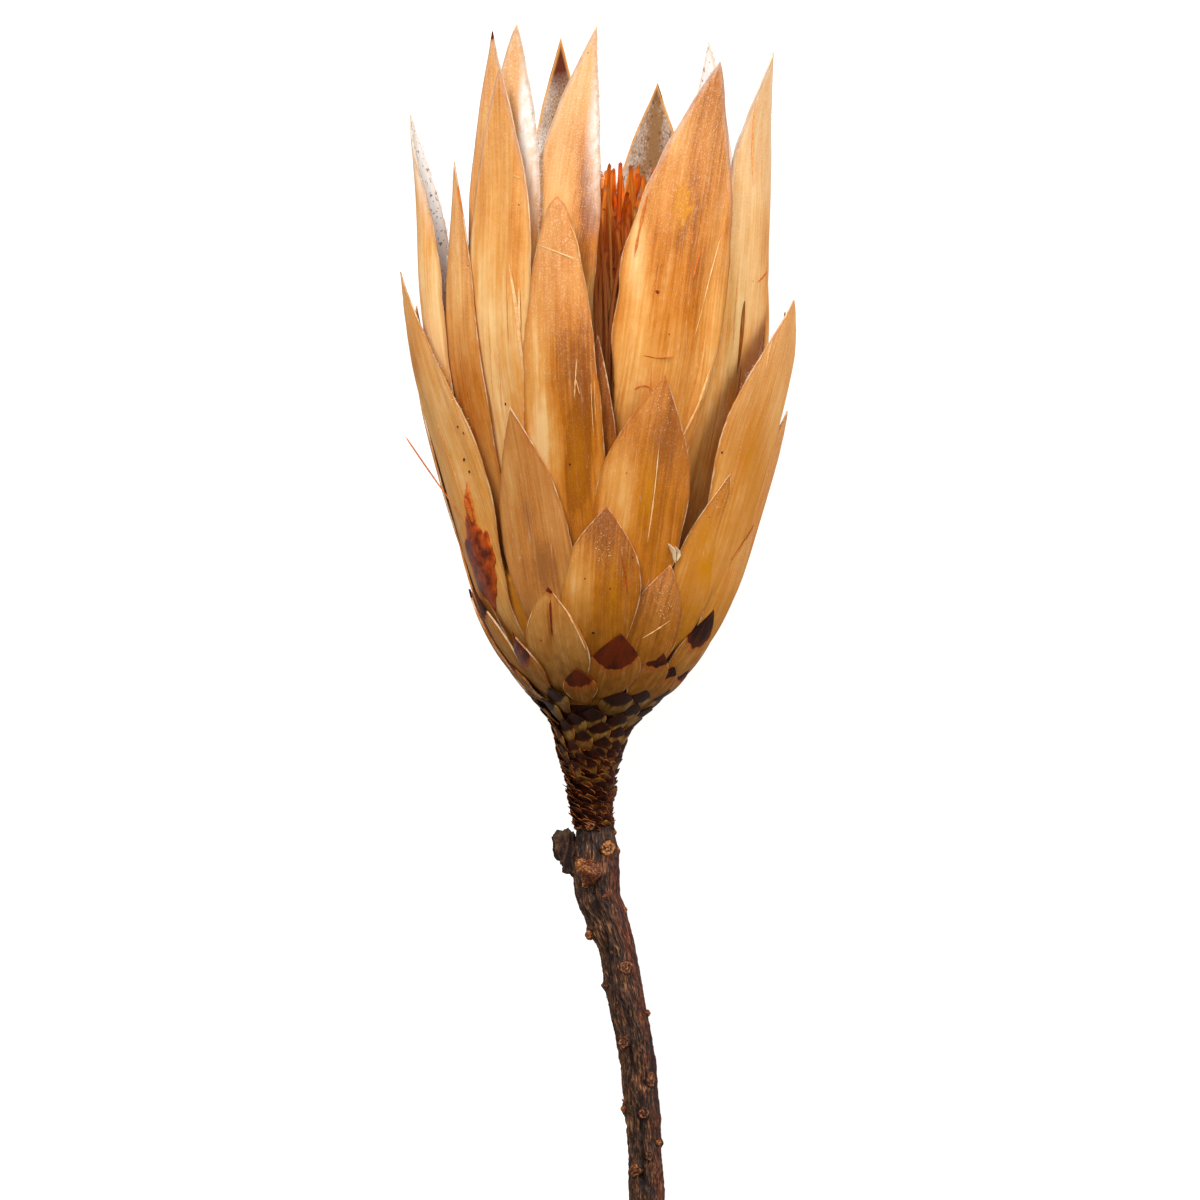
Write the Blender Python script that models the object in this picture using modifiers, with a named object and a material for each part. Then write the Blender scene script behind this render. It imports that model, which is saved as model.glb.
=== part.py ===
"""A sugarbush: one dried flower head with its bracts closed to a goblet, on a cut length of woody stem.

The flower is shaped upright, with the foot of its neck at the origin and the side it is seen from
facing -Y. An empty then lays it down on its back: it rests on a few low bracts and the stem's cut end.
A place on the head is given as a turn round the axis in degrees (0 faces the viewer, 90 is the
viewer's right), a height up the axis and a distance out from it, both in millimetres.
"""

import collections
import math
import random

import bmesh
import bpy
from mathutils import Matrix, Vector

MM = 0.001
GAP = 0.3

# How it lies: the rise of its axis above the surface, and where the neck's foot ends up
LAY_RISE_DEG = 11.1
LAY_PLACE = (0.5, -34.51, 14.45)

# Half of the head's width at heights up its axis, and how far its middle sways to the right
OUTLINE = (
    (0.0, 3.0), (8.5, 4.1), (13.0, 5.3), (16.5, 6.5), (19.5, 9.0), (22.7, 11.9), (28.0, 16.0),
    (35.2, 19.9), (43.0, 22.7), (57.0, 26.6), (73.0, 30.4), (85.0, 31.2), (110.0, 29.8), (130.0, 29.2),
)
SWAY = ((0.0, -0.9), (5.0, -1.5), (14.0, -1.5), (20.0, -0.5), (26.0, 0.0), (60.0, 0.2), (130.0, 0.0))

NECK_FOOT, NECK_TOP = 0.3, 19.2
NECK_SKIN = 0.6
CUP_FOOT = NECK_TOP + GAP
CUP_TOP, CUP_SHOULDER = 43.0, 40.0
CUP_DOME, CUP_RIM = 0.5, 17.0
CUP_SKIN = 1.5

BRACT_THICK = 0.9
SCALE_THICK = 1.3
ROOT_SINK, ROOT_FADE = 3.2, 6
LEAN_POWER = 3
FOOT_SHARE = 0.34
SHINGLE = 0.5

# foot and tip are heights, with their turns; width is at its widest, a share of the way up; depth is
# how far under the outline it lies, flare how far its tip stands out again, curl its hollow's radius
Bract = collections.namedtuple("Bract", "foot foot_turn tip tip_turn width widest depth flare curl")

TALL = (
    Bract(38, 19, 122.5, 42, 19.5, 0.56, 3.2, 2.4, 25),
    Bract(36, -31, 122.0, -35, 12.4, 0.60, 2.6, 1.4, 24),
    Bract(40, -20.5, 128.4, -1, 13.4, 0.56, 6.6, 1.0, 20),
    Bract(36, -47, 106.6, -59, 9.6, 0.55, 2.2, -0.5, 20),
    Bract(36, -72, 114.4, -87, 15.5, 0.62, 2.2, 3.2, 14),
    Bract(40, -45, 127.4, -45, 12.0, 0.62, 5.6, 0.9, 18),
    Bract(40, -38.5, 128.5, -32.5, 12.0, 0.66, 5.8, 1.2, 18),
    Bract(36, 58.5, 124.2, 67, 13.4, 0.70, 4.6, 5.5, 20),
    Bract(34, 44, 98.0, 51, 12.0, 0.60, 4.4, 0.2, 20),
    Bract(37, 97, 112.0, 104, 14.0, 0.60, 4.2, 1.0, 20),
    Bract(38, 137, 126.8, 141, 14.5, 0.60, 3.4, 2.2, 18),
    Bract(38, 163, 120.0, 160, 18.0, 0.60, 3.8, 1.6, 20),
    Bract(38, -165, 127.4, -167, 12.5, 0.60, 4.0, 1.2, 18),
    Bract(38, -134, 98.0, -140, 14.5, 0.58, 3.2, 1.4, 20),
    Bract(37, -106, 98.0, -110, 13.0, 0.60, 4.4, 1.0, 18),
    Bract(40, 78, 104.0, 84, 10.0, 0.60, 6.0, 0.5, 18),
    Bract(40, 180, 104.0, 180, 12.0, 0.60, 6.6, 0.5, 18),
)

MIDDLE = (
    Bract(29, -13, 101.0, -14, 12.2, 0.66, 0.9, -0.6, 22),
    Bract(30, -2, 79.0, -1, 7.0, 0.55, 2.2, -0.6, 20),
    Bract(26, -60, 89.2, -77, 18.0, 0.54, -0.2, 1.7, 20),
    Bract(26, 58, 84.7, 72, 17.5, 0.66, -0.5, 0.7, 20),
    Bract(27, 100, 83.0, 106, 16.0, 0.56, 0.7, 0.2, 20),
    Bract(27, 146, 97.0, 148, 16.5, 0.58, -1.1, 0.9, 16),
    Bract(27, -149, 94.0, -150, 16.5, 0.58, -1.45, 0.9, 16),
    Bract(27, -90, 78.0, -93, 13.0, 0.55, 1.6, 0.0, 18),
    Bract(27, -106, 84.0, -104, 15.0, 0.56, 0.7, 0.2, 20),
    Bract(29, 180, 92.0, 180, 13.0, 0.56, 3.6, 0.2, 20),
)

LOW = (
    Bract(24, -27, 67.6, -29.5, 13.2, 0.50, 0.0, 0.2, 18),
    Bract(24, 14, 72.5, 19.5, 15.6, 0.60, 0.0, 0.4, 20),
    Bract(25, 79, 67.0, 83, 14.0, 0.56, -0.7, 0.2, 18),
    Bract(24, 44, 57.0, 50, 10.0, 0.52, -0.1, 0.4, 16),
    Bract(23, -72, 56.8, -78, 13.0, 0.52, 0.9, 0.0, 16),
    Bract(22, 72, 48.8, 77, 11.5, 0.52, -0.6, 0.2, 14),
    Bract(22, -1, 51.7, 2, 13.4, 0.58, -0.7, 0.2, 16),
    Bract(24, 123, 69.0, 125, 14.0, 0.56, 0.2, 0.0, 18),
    Bract(24, 165, 63.0, 166, 14.0, 0.56, 0.7, 0.0, 18),
    Bract(24, -168, 70.0, -167, 14.0, 0.56, 0.9, 0.0, 18),
    Bract(24, -127, 66.0, -127, 14.0, 0.56, 0.2, 0.0, 18),
    Bract(23, 102, 53.0, 103, 12.0, 0.54, -0.4, 0.0, 15),
    Bract(23, 145, 50.0, 145, 12.0, 0.54, -0.4, 0.0, 15),
    Bract(23, -171, 52.0, -171, 12.5, 0.54, -0.4, 0.0, 15),
    Bract(23, -145, 47.0, -146, 12.0, 0.54, -0.5, 0.0, 15),
    Bract(23, -104, 51.0, -104, 12.5, 0.54, 0.7, 0.0, 15),
)

# Broad scales at the foot of the cup: those in front one by one, then rows that go on round the back
SCALES = (
    Bract(19.8, -26, 38.9, -23, 11.6, 0.46, -0.4, 0.0, 14),
    Bract(20.5, 25, 42.4, 29, 11.2, 0.50, -0.5, 0.0, 14),
    Bract(20.5, -72, 38.7, -73, 9.5, 0.46, -0.2, 0.0, 12),
    Bract(20.5, 62, 35.2, 63, 8.0, 0.50, -0.4, 0.0, 12),
    Bract(20.5, -50, 30.8, -49, 6.6, 0.50, -0.5, 0.0, 10),
    Bract(20.2, 8, 31.4, 10, 9.0, 0.50, -0.8, 0.0, 12),
    Bract(20.0, 35, 28.6, 36, 6.6, 0.50, -0.6, 0.0, 10),
    Bract(19.8, -14, 25.8, -15, 6.0, 0.50, -0.7, 0.0, 8),
    Bract(19.8, 52, 26.0, 52, 5.6, 0.50, -0.6, 0.0, 8),
    Bract(19.8, -76, 27.2, -75, 6.6, 0.50, -0.4, 0.0, 8),
)
SCALE_ROWS = (
    # tip height, first turn, last turn, how many, width
    (38.5, 92, 262, 5, 10.5),
    (31.5, 80, 272, 7, 8.0),
    (25.8, 76, 270, 8, 6.4),
    (22.6, -70, 250, 13, 4.6),
)
SCALE_FOOT = 19.8
SCALE_WIDEST, SCALE_DEPTH, SCALE_CURL = 0.5, -0.3, 10

SMALL_ROWS, SMALL_STEP, SMALL_FIRST = 8, 2.15, 1.2
SMALL_PER_ROW = 10
SMALL_LENGTH = 4.0
SMALL_THICK = 1.5
SMALL_SPREAD = 1.25
SMALL_TIP_OUT = 0.15

FLORET_FOOT = CUP_TOP + CUP_DOME + GAP
FLORET_CORE = ((0.0, 80.0), (4.0, 78.5), (7.0, 72.0), (9.0, 60.0), (11.0, 50.0), (12.5, FLORET_FOOT), (0.0, FLORET_FOOT))
STYLES = 150
STYLE_ROOT = (50.0, 74.0)
STYLE_TIP = (92.0, 107.0)
STYLE_GATHER, STYLE_SPREAD = 7.5, 15.5
STYLE_STRAY = 0.25
GOLDEN_TURN_DEG = 137.508
STYLE_RADIUS = 0.6
SEED = 7

# The stem's middle line below the neck, right of the axis, up and to the front, and its half width
STEM = (
    (-0.8, 0.0, 0.0, 3.0), (-0.55, -5.0, 0.0, 3.55), (-0.05, -11.2, 0.2, 3.6), (2.75, -19.2, 0.5, 3.0),
    (4.2, -27.2, 0.7, 3.0), (5.8, -35.2, 0.7, 2.9), (6.6, -43.2, 0.5, 2.75), (7.2, -51.2, 0.3, 2.7),
    (7.5, -61.5, 0.13, 2.8),
)

# Knobs on the stem: height, turn, how far it stands out and its radius
KNOBS = (
    (-2.8, 32, 0.3, 1.3), (-5.9, -42, 0.7, 1.2), (-7.0, 2, 0.7, 1.3), (-3.4, 90, 0.4, 0.8),
    (-12.6, 75, 0.3, 1.1), (-16.6, -92, 1.3, 1.0), (-21.9, 14, 0.35, 1.1), (-24.9, -92, 0.9, 0.6),
    (-33.9, -33, 0.35, 1.1), (-39.9, 42, 0.3, 1.0), (-44.6, -90, 1.0, 0.9), (-45.2, 6, 0.3, 0.9),
    (-50.0, 75, 0.5, 0.7), (-52.0, 13, 0.3, 0.9), (-54.5, -33, 0.35, 1.1), (-10.0, 172, 0.7, 1.1),
    (-29.0, -160, 0.4, 1.0), (-38.0, 140, 0.4, 1.0),
)
STUB_FROM, STUB_TO = (-3.4, -6.4, 0.3), (-6.0, -0.2, 0.3)
STUB_FOOT_RADIUS, STUB_TIP_RADIUS = 1.4, 1.75
STUB_BUD = (-5.6, -6.3, 0.2, 0.9)


def linear(hex_colour):
    """sRGB hex as the linear colour that a material takes."""
    parts = [int(hex_colour[at:at + 2], 16) / 255 for at in (0, 2, 4)]
    return (*(p / 12.92 if p <= 0.04045 else ((p + 0.055) / 1.055) ** 2.4 for p in parts), 1.0)


def material(name, hex_colour, roughness):
    made = bpy.data.materials.new(name)
    made.use_nodes = True
    shader = made.node_tree.nodes["Principled BSDF"]
    shader.inputs["Base Color"].default_value = linear(hex_colour)
    shader.inputs["Roughness"].default_value = roughness
    shader.inputs["Metallic"].default_value = 0.0
    made.diffuse_color = linear(hex_colour)
    return made


def smooth_at(points, height):
    """The value at a height on a smooth curve through points of height and value."""
    last = len(points) - 1
    height = min(max(height, points[0][0]), points[last][0])
    at = max(i for i in range(last) if points[i][0] <= height)

    def slope(i):
        low, high = points[max(i - 1, 0)], points[min(i + 1, last)]
        return (high[1] - low[1]) / (high[0] - low[0])

    (h0, r0), (h1, r1) = points[at], points[at + 1]
    span = h1 - h0
    t = (height - h0) / span
    return (
        r0 * (1 + 2 * t) * (1 - t) ** 2 + slope(at) * span * t * (1 - t) ** 2
        + r1 * t * t * (3 - 2 * t) - slope(at + 1) * span * t * t * (1 - t)
    )


def outline(height):
    return smooth_at(OUTLINE, height)


def spot(turn, radius, height):
    """A place on the upright head, in millimetres."""
    return Vector((radius * math.sin(turn) + smooth_at(SWAY, height), -radius * math.cos(turn), height))


def around(turn):
    """The way round the axis to the right, at a turn."""
    return Vector((math.cos(turn), math.sin(turn), 0))


def lance(along, widest):
    """A bract's width at a share of its length, as a share of its greatest width."""
    if along < widest:
        return FOOT_SHARE + (1 - FOOT_SHARE) * (1 - math.cos(math.pi * along / widest)) / 2
    return math.cos(math.pi / 2 * (along - widest) / (1 - widest))


def bract_point(bract, along, across):
    """A place on a bract's outer face: along runs from foot to tip, across from -1 to 1."""
    height = bract.foot + (bract.tip - bract.foot) * along
    turn = math.radians(bract.foot_turn + (bract.tip_turn - bract.foot_turn) * along ** LEAN_POWER)
    radius = outline(height) - bract.depth + bract.flare * along ** LEAN_POWER
    radius -= ROOT_SINK * (1 - along) ** ROOT_FADE
    half = bract.width / 2 * lance(along, bract.widest)
    bend = across * half / bract.curl
    radius -= bract.curl * (1 - math.cos(bend)) - SHINGLE * across * half / (bract.width / 2)
    side = bract.curl * math.sin(bend)
    return spot(turn, radius, height) + side * around(turn)


def keep(shape, name, collection):
    """An object from a bmesh in millimetres."""
    bmesh.ops.scale(shape, vec=(MM, MM, MM), verts=shape.verts)
    mesh = bpy.data.meshes.new(name)
    shape.to_mesh(mesh)
    shape.free()
    made = bpy.data.objects.new(name, mesh)
    collection.objects.link(made)
    return made


def bract_solid(bract, thick, cells, collection):
    """A bract as a closed blade: a sheet with its cells split alike on both faces."""
    across, along = cells
    shape = bmesh.new()
    bmesh.ops.create_grid(shape, x_segments=across, y_segments=along, size=1)
    for vert in shape.verts:
        vert.co = bract_point(bract, (vert.co.y + 1) / 2, vert.co.x)
    bmesh.ops.remove_doubles(shape, verts=shape.verts, dist=0.01)
    bmesh.ops.triangulate(shape, faces=shape.faces)
    turn = math.radians(bract.foot_turn)
    outward = Vector((math.sin(turn), -math.cos(turn), 0))
    if sum(face.normal.dot(outward) * face.calc_area() for face in shape.faces) < 0:
        bmesh.ops.reverse_faces(shape, faces=shape.faces)
    bmesh.ops.solidify(shape, geom=shape.faces, thickness=thick)
    if shape.calc_volume(signed=True) < 0:
        bmesh.ops.reverse_faces(shape, faces=shape.faces)
    return keep(shape, "bract", collection)


def spike(start, end, radius, sides, collection, flat=1.0, wide=None):
    """A pointed cone from start to end, flattened across the way that wide runs."""
    reach = end - start
    up = reach.normalized()
    wide = (wide - wide.dot(up) * up).normalized() if wide else up.orthogonal().normalized()
    deep = up.cross(wide)
    shape = bmesh.new()
    bmesh.ops.create_cone(
        shape, cap_ends=True, segments=sides, radius1=radius, radius2=0, depth=reach.length
    )
    bmesh.ops.scale(shape, vec=(1, flat, 1), verts=shape.verts)
    turn = Matrix((wide, deep, up)).transposed().to_4x4()
    bmesh.ops.transform(shape, matrix=Matrix.Translation((start + end) / 2) @ turn, verts=shape.verts)
    return keep(shape, "spike", collection)


def turned(name, profile, collection, steps):
    """A solid turned round the axis, from a profile given top to bottom."""
    mesh = bpy.data.meshes.new(name)
    points = [(radius * MM, 0, height * MM) for radius, height in profile]
    mesh.from_pydata(points, [(i, i + 1) for i in range(len(points) - 1)], [])
    made = bpy.data.objects.new(name, mesh)
    collection.objects.link(made)
    screw = made.modifiers.new("turn", "SCREW")
    screw.steps = screw.render_steps = steps
    screw.use_merge_vertices = True
    screw.merge_threshold = 0.00001
    return made


def settled(made):
    """Applies an object's modifiers."""
    bpy.context.view_layer.update()
    graph = bpy.context.evaluated_depsgraph_get()
    mesh = bpy.data.meshes.new_from_object(made.evaluated_get(graph))
    made.modifiers.clear()
    made.data = mesh
    return made


def swayed(made):
    """Moves a turned core sideways with the head's middle line."""
    for vert in made.data.vertices:
        vert.co.x += smooth_at(SWAY, vert.co.z / MM) * MM
    return made


def rested(made):
    """Cuts a flat where the laid head meets the surface under it."""
    rise = math.radians(LAY_RISE_DEG)
    up = Vector((0, -math.cos(rise), math.sin(rise)))
    shape = bmesh.new()
    shape.from_mesh(made.data)
    whole = [*shape.verts, *shape.edges, *shape.faces]
    bmesh.ops.bisect_plane(
        shape, geom=whole, plane_co=-up * LAY_PLACE[2] * MM, plane_no=-up, clear_outer=True, dist=1e-7
    )
    bmesh.ops.holes_fill(shape, edges=[edge for edge in shape.edges if edge.is_boundary])
    shape.to_mesh(made.data)
    shape.free()
    return made


def largest_body(mesh):
    """Drops loose scraps and the sealed hollows between blades: all but the largest closed shell."""
    shape = bmesh.new()
    shape.from_mesh(mesh)
    left, shells = set(shape.verts), []
    while left:
        start = left.pop()
        shell, edge = {start}, [start]
        while edge:
            for link in edge.pop().link_edges:
                for vert in link.verts:
                    if vert in left:
                        left.discard(vert)
                        shell.add(vert)
                        edge.append(vert)
        shells.append(shell)
    shells.sort(key=len)
    for shell in shells[:-1]:
        bmesh.ops.delete(shape, geom=list(shell), context="VERTS")
    shape.to_mesh(mesh)
    shape.free()


def fuse(core, repeats, solver):
    """Joins a collection's solids to their core by one union, then removes the collection."""
    union = core.modifiers.new("grown together", "BOOLEAN")
    union.operation = "UNION"
    union.operand_type = "COLLECTION"
    union.collection = repeats
    union.solver = solver
    settled(core)
    for made in list(repeats.objects):
        bpy.data.objects.remove(made)
    bpy.data.collections.remove(repeats)
    largest_body(core.data)
    return core


def finish(made, surface, laid):
    """Gives a node its one material and lays it down with the others."""
    made.data.materials.clear()
    made.data.materials.append(surface)
    made.data.shade_smooth()
    made.data.set_sharp_from_angle(angle=math.radians(40))
    made.parent = laid


def repeats_collection(name):
    made = bpy.data.collections.new(name)
    bpy.context.scene.collection.children.link(made)
    return made


def make_bracts(parts):
    """The cup and every bract that grows from it."""
    steps = [CUP_FOOT + (CUP_SHOULDER - CUP_FOOT) * i / 5 for i in range(5, -1, -1)]
    profile = [(0, CUP_TOP + CUP_DOME), (CUP_RIM, CUP_TOP)]
    profile += [(outline(height) - CUP_SKIN, height) for height in steps]
    profile.append((0, CUP_FOOT))
    core = swayed(settled(turned("bracts", profile, parts, 28)))
    blades = repeats_collection("blades")
    for bracts, thick, cells in (
        (TALL, BRACT_THICK, (3, 7)),
        (MIDDLE, BRACT_THICK, (3, 6)),
        (LOW, BRACT_THICK, (3, 5)),
        (SCALES, SCALE_THICK, (2, 3)),
    ):
        for bract in bracts:
            bract_solid(bract, thick, cells, blades)
    for tip, first, last, many, width in SCALE_ROWS:
        for i in range(many):
            turn = first + (last - first) * i / (many - 1)
            scale = Bract(SCALE_FOOT, turn, tip, turn, width, SCALE_WIDEST, SCALE_DEPTH, 0, SCALE_CURL)
            bract_solid(scale, SCALE_THICK, (2, 3), blades)
    return rested(fuse(core, blades, "MANIFOLD"))


def make_neck(parts):
    """The narrow neck under the cup, covered with small keeled scales in a spiral."""
    steps = [NECK_FOOT + (NECK_TOP - NECK_FOOT) * i / 8 for i in range(8, -1, -1)]
    profile = [(0, NECK_TOP)] + [(outline(h) - NECK_SKIN, h) for h in steps] + [(0, NECK_FOOT)]
    core = swayed(settled(turned("neck_scales", profile, parts, 24)))
    small = repeats_collection("small scales")
    for row in range(SMALL_ROWS):
        foot = SMALL_FIRST + SMALL_STEP * row
        for i in range(SMALL_PER_ROW):
            turn = math.tau * (i + row * 0.5) / SMALL_PER_ROW
            tip = min(foot + SMALL_LENGTH, NECK_TOP - 0.2)
            width = SMALL_SPREAD * math.tau * outline(foot) / SMALL_PER_ROW
            start = spot(turn, outline(foot) - SMALL_THICK, foot)
            end = spot(turn, outline(tip) + SMALL_TIP_OUT, tip)
            spike(start, end, width / 2, 4, small, SMALL_THICK / width, around(turn))
    return fuse(core, small, "MANIFOLD")


def make_florets(parts):
    """The bundle of dry styles that fills the goblet."""
    core = settled(turned("florets", FLORET_CORE, parts, 12))
    styles = repeats_collection("styles")
    chance = random.Random(SEED)
    for i in range(STYLES):
        share = (i + 0.5) / STYLES
        turn = math.radians(GOLDEN_TURN_DEG * i)
        out = math.sqrt(share)
        root = STYLE_ROOT[1] + (STYLE_ROOT[0] - STYLE_ROOT[1]) * share
        tip = chance.uniform(*STYLE_TIP)
        start = spot(turn, STYLE_GATHER * out, root)
        stray = chance.uniform(-STYLE_STRAY, STYLE_STRAY)
        end = spot(turn + stray, STYLE_SPREAD * out * chance.uniform(0.85, 1.0), tip)
        spike(start, end, STYLE_RADIUS, 3, styles)
    return fuse(core, styles, "MANIFOLD")


def make_stem(parts):
    """The woody stem with its stub, buds and leaf scars."""
    line = bpy.data.curves.new("stem", "CURVE")
    line.dimensions = "3D"
    line.bevel_depth = MM
    line.bevel_resolution = 3
    line.use_fill_caps = True
    line.resolution_u = line.render_resolution_u = 3
    spline = line.splines.new("NURBS")
    spline.points.add(len(STEM) - 1)
    spline.use_endpoint_u = True
    spline.order_u = 3
    for point, (right, up, front, half) in zip(spline.points, STEM):
        point.co = (right * MM, -front * MM, up * MM, 1)
        point.radius = half
    bent = bpy.data.objects.new("stem", line)
    parts.objects.link(bent)
    bpy.context.view_layer.update()
    mesh = bpy.data.meshes.new_from_object(bent.evaluated_get(bpy.context.evaluated_depsgraph_get()))
    bpy.data.objects.remove(bent)
    shape = bmesh.new()
    shape.from_mesh(mesh)
    bmesh.ops.remove_doubles(shape, verts=shape.verts, dist=0.01 * MM)
    bmesh.ops.recalc_face_normals(shape, faces=shape.faces)
    shape.to_mesh(mesh)
    shape.free()
    core = bpy.data.objects.new("stem", mesh)
    parts.objects.link(core)
    knobs = repeats_collection("knobs")
    for height, turn, out, radius in KNOBS:
        right, front, half = stem_at(height)
        middle = Vector((right, -front, height)) + spot(math.radians(turn), half + out - radius * 0.6, 0)
        knob(middle, radius, knobs)
    stub(knobs)
    return fuse(core, knobs, "MANIFOLD")


def stem_at(height):
    """The stem's middle and half width at a height, between the points of STEM."""
    for above, below in zip(STEM, STEM[1:]):
        if above[1] >= height >= below[1]:
            t = (above[1] - height) / (above[1] - below[1])
            return tuple(above[i] + (below[i] - above[i]) * t for i in (0, 2, 3))
    raise ValueError(f"the stem has no height {height}")


def knob(middle, radius, collection):
    shape = bmesh.new()
    bmesh.ops.create_icosphere(shape, subdivisions=1, radius=radius)
    bmesh.ops.translate(shape, vec=middle, verts=shape.verts)
    return keep(shape, "knob", collection)


def stub(collection):
    """The cut side branch under the head, with the bud below it."""
    start, end = (Vector((right, -front, up)) for right, up, front in (STUB_FROM, STUB_TO))
    shape = bmesh.new()
    bmesh.ops.create_cone(
        shape, cap_ends=True, segments=8, radius1=STUB_FOOT_RADIUS, radius2=STUB_TIP_RADIUS,
        depth=(end - start).length,
    )
    turn = (end - start).to_track_quat("Z", "Y").to_matrix().to_4x4()
    bmesh.ops.transform(shape, matrix=Matrix.Translation((start + end) / 2) @ turn, verts=shape.verts)
    keep(shape, "stub", collection)
    right, up, front, radius = STUB_BUD
    knob(Vector((right, -front, up)), radius, collection)


def main():
    for old in list(bpy.data.objects):
        bpy.data.objects.remove(old)
    parts = bpy.data.collections.new("sugarbush")
    bpy.context.scene.collection.children.link(parts)
    laid = bpy.data.objects.new("laid_down", None)
    laid.rotation_euler = (-math.radians(90 - LAY_RISE_DEG), 0, 0)
    laid.location = Vector(LAY_PLACE) * MM
    parts.objects.link(laid)
    finish(make_stem(parts), material("weathered_bark", "4A3024", 0.75), laid)
    finish(make_neck(parts), material("dark_scales", "4C2A18", 0.65), laid)
    finish(make_bracts(parts), material("dry_papery_bract", "D9A15C", 0.5), laid)
    finish(make_florets(parts), material("dry_styles", "B4511F", 0.6), laid)


main()
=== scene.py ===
"""The looks of a dried sugarbush head: a closed goblet of papery bracts on a cut woody stem.

It is laid out as an add-on with a panel of its own, and run as a script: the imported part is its
frame, and each piece here is the fine surface of one of the frame's plain solids.
A place on the head is given as in the part's source: in millimetres with the axis up, the foot of
the neck at the origin, and a turn round the axis where 0 faces the viewer and 90 is the right.
"""

import collections
import math
import random

import bmesh
import bpy
from bpy.props import FloatProperty, FloatVectorProperty, IntProperty, PointerProperty
from mathutils import Matrix, Vector, noise


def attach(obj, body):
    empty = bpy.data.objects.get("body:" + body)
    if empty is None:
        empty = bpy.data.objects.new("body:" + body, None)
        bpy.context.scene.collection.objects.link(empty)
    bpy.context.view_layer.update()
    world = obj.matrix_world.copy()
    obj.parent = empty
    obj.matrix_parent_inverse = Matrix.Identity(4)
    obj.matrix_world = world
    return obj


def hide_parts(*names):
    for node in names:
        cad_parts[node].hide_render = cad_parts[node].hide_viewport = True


bl_info = {
    "name": "Dried sugarbush head",
    "version": (1, 0, 0),
    "blender": (4, 5, 0),
    "location": "3D View > Sidebar > Sugarbush",
    "description": "Builds the bracts, scales, florets, bark and stage of a dried sugarbush head",
    "category": "Add Mesh",
}

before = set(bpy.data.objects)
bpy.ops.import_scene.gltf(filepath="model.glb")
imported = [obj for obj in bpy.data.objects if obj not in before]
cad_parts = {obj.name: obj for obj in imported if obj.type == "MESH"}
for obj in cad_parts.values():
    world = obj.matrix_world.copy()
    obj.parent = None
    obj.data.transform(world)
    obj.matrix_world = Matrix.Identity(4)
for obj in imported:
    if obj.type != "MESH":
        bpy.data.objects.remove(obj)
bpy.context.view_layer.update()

MM = 0.001

# How the head lies: the rise of its axis above the surface, and where the neck's foot ends up
LAY_RISE_DEG = 11.1
LAY_PLACE = (0.5, -34.51, 14.45)
LAID = Matrix.Translation(Vector(LAY_PLACE) * MM) @ Matrix.Rotation(-math.radians(90 - LAY_RISE_DEG), 4, "X")
FLOOR_CLEAR = 0.02

# The camera stands square to the head's axis and frames 192 mm, as the photograph does
VIEW_MIDDLE = (0.0, 36.8)
VIEW_SPAN = 192.0
VIEW_DISTANCE = 4000.0
SENSOR = 36.0

# The head's plain outline as height and radius, and how far its middle sways to the right
OUTLINE = (
    (0.0, 3.0), (8.5, 4.1), (13.0, 5.3), (16.5, 6.5), (19.5, 9.0), (22.7, 11.9), (28.0, 16.0),
    (35.2, 19.9), (43.0, 22.7), (57.0, 26.6), (73.0, 30.4), (85.0, 31.2), (110.0, 29.8), (130.0, 29.2),
)
SWAY = ((0.0, -0.9), (5.0, -1.5), (14.0, -1.5), (20.0, -0.5), (26.0, 0.0), (60.0, 0.2), (130.0, 0.0))
STRAIGHT = ((0.0, 0.0), (130.0, 0.0))
NECK_FOOT, NECK_TOP, NECK_CAP = 0.3, 19.2, 20.7
CUP_FOOT, CUP_TOP, CUP_SKIN = 19.5, 43.0, 1.5
# A bract's foot is sunk into the cup, and its flare sets in late
ROOT_SINK, ROOT_FADE = 3.2, 6
FLARE_POWER = 3
# Its width at the foot as a share of the widest, and how much its right margin stands over its left
FOOT_SHARE = 0.34
SHINGLE = 0.5

# foot and tip are heights with their turns. width is at its widest, which is a share of the way up.
# depth is how far under the outline it lies, flare how far its tip stands out again, and curl its
# hollow's radius. tone, at the tip and at the foot, runs from pale straw 0 to deep orange 1. olive and
# blush tint it, and a blush under 0 is a dull brown all over. dark is how many millimetres of its tip
# are burnt. wool is how white its inside is, and over 1 it covers the right of the outside too. twist
# turns its tip to show its inside, and roll is how late. point sharpens its tip, and lean is how late
# it leans over. furl is how much tighter its tip is rolled, as a share. creases are lengthwise folds:
# where across at foot and tip, how wide and how deep.
Bract = collections.namedtuple(
    "Bract",
    "foot foot_turn tip tip_turn width widest depth flare curl "
    "tone foot_tone olive blush dark wool twist roll point lean furl creases",
    defaults=(0.5, 0.5, 0.2, 0.4, 0.0, 0.0, 0.0, 2.0, 1.0, 3.0, 0.0, ()),
)

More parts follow.
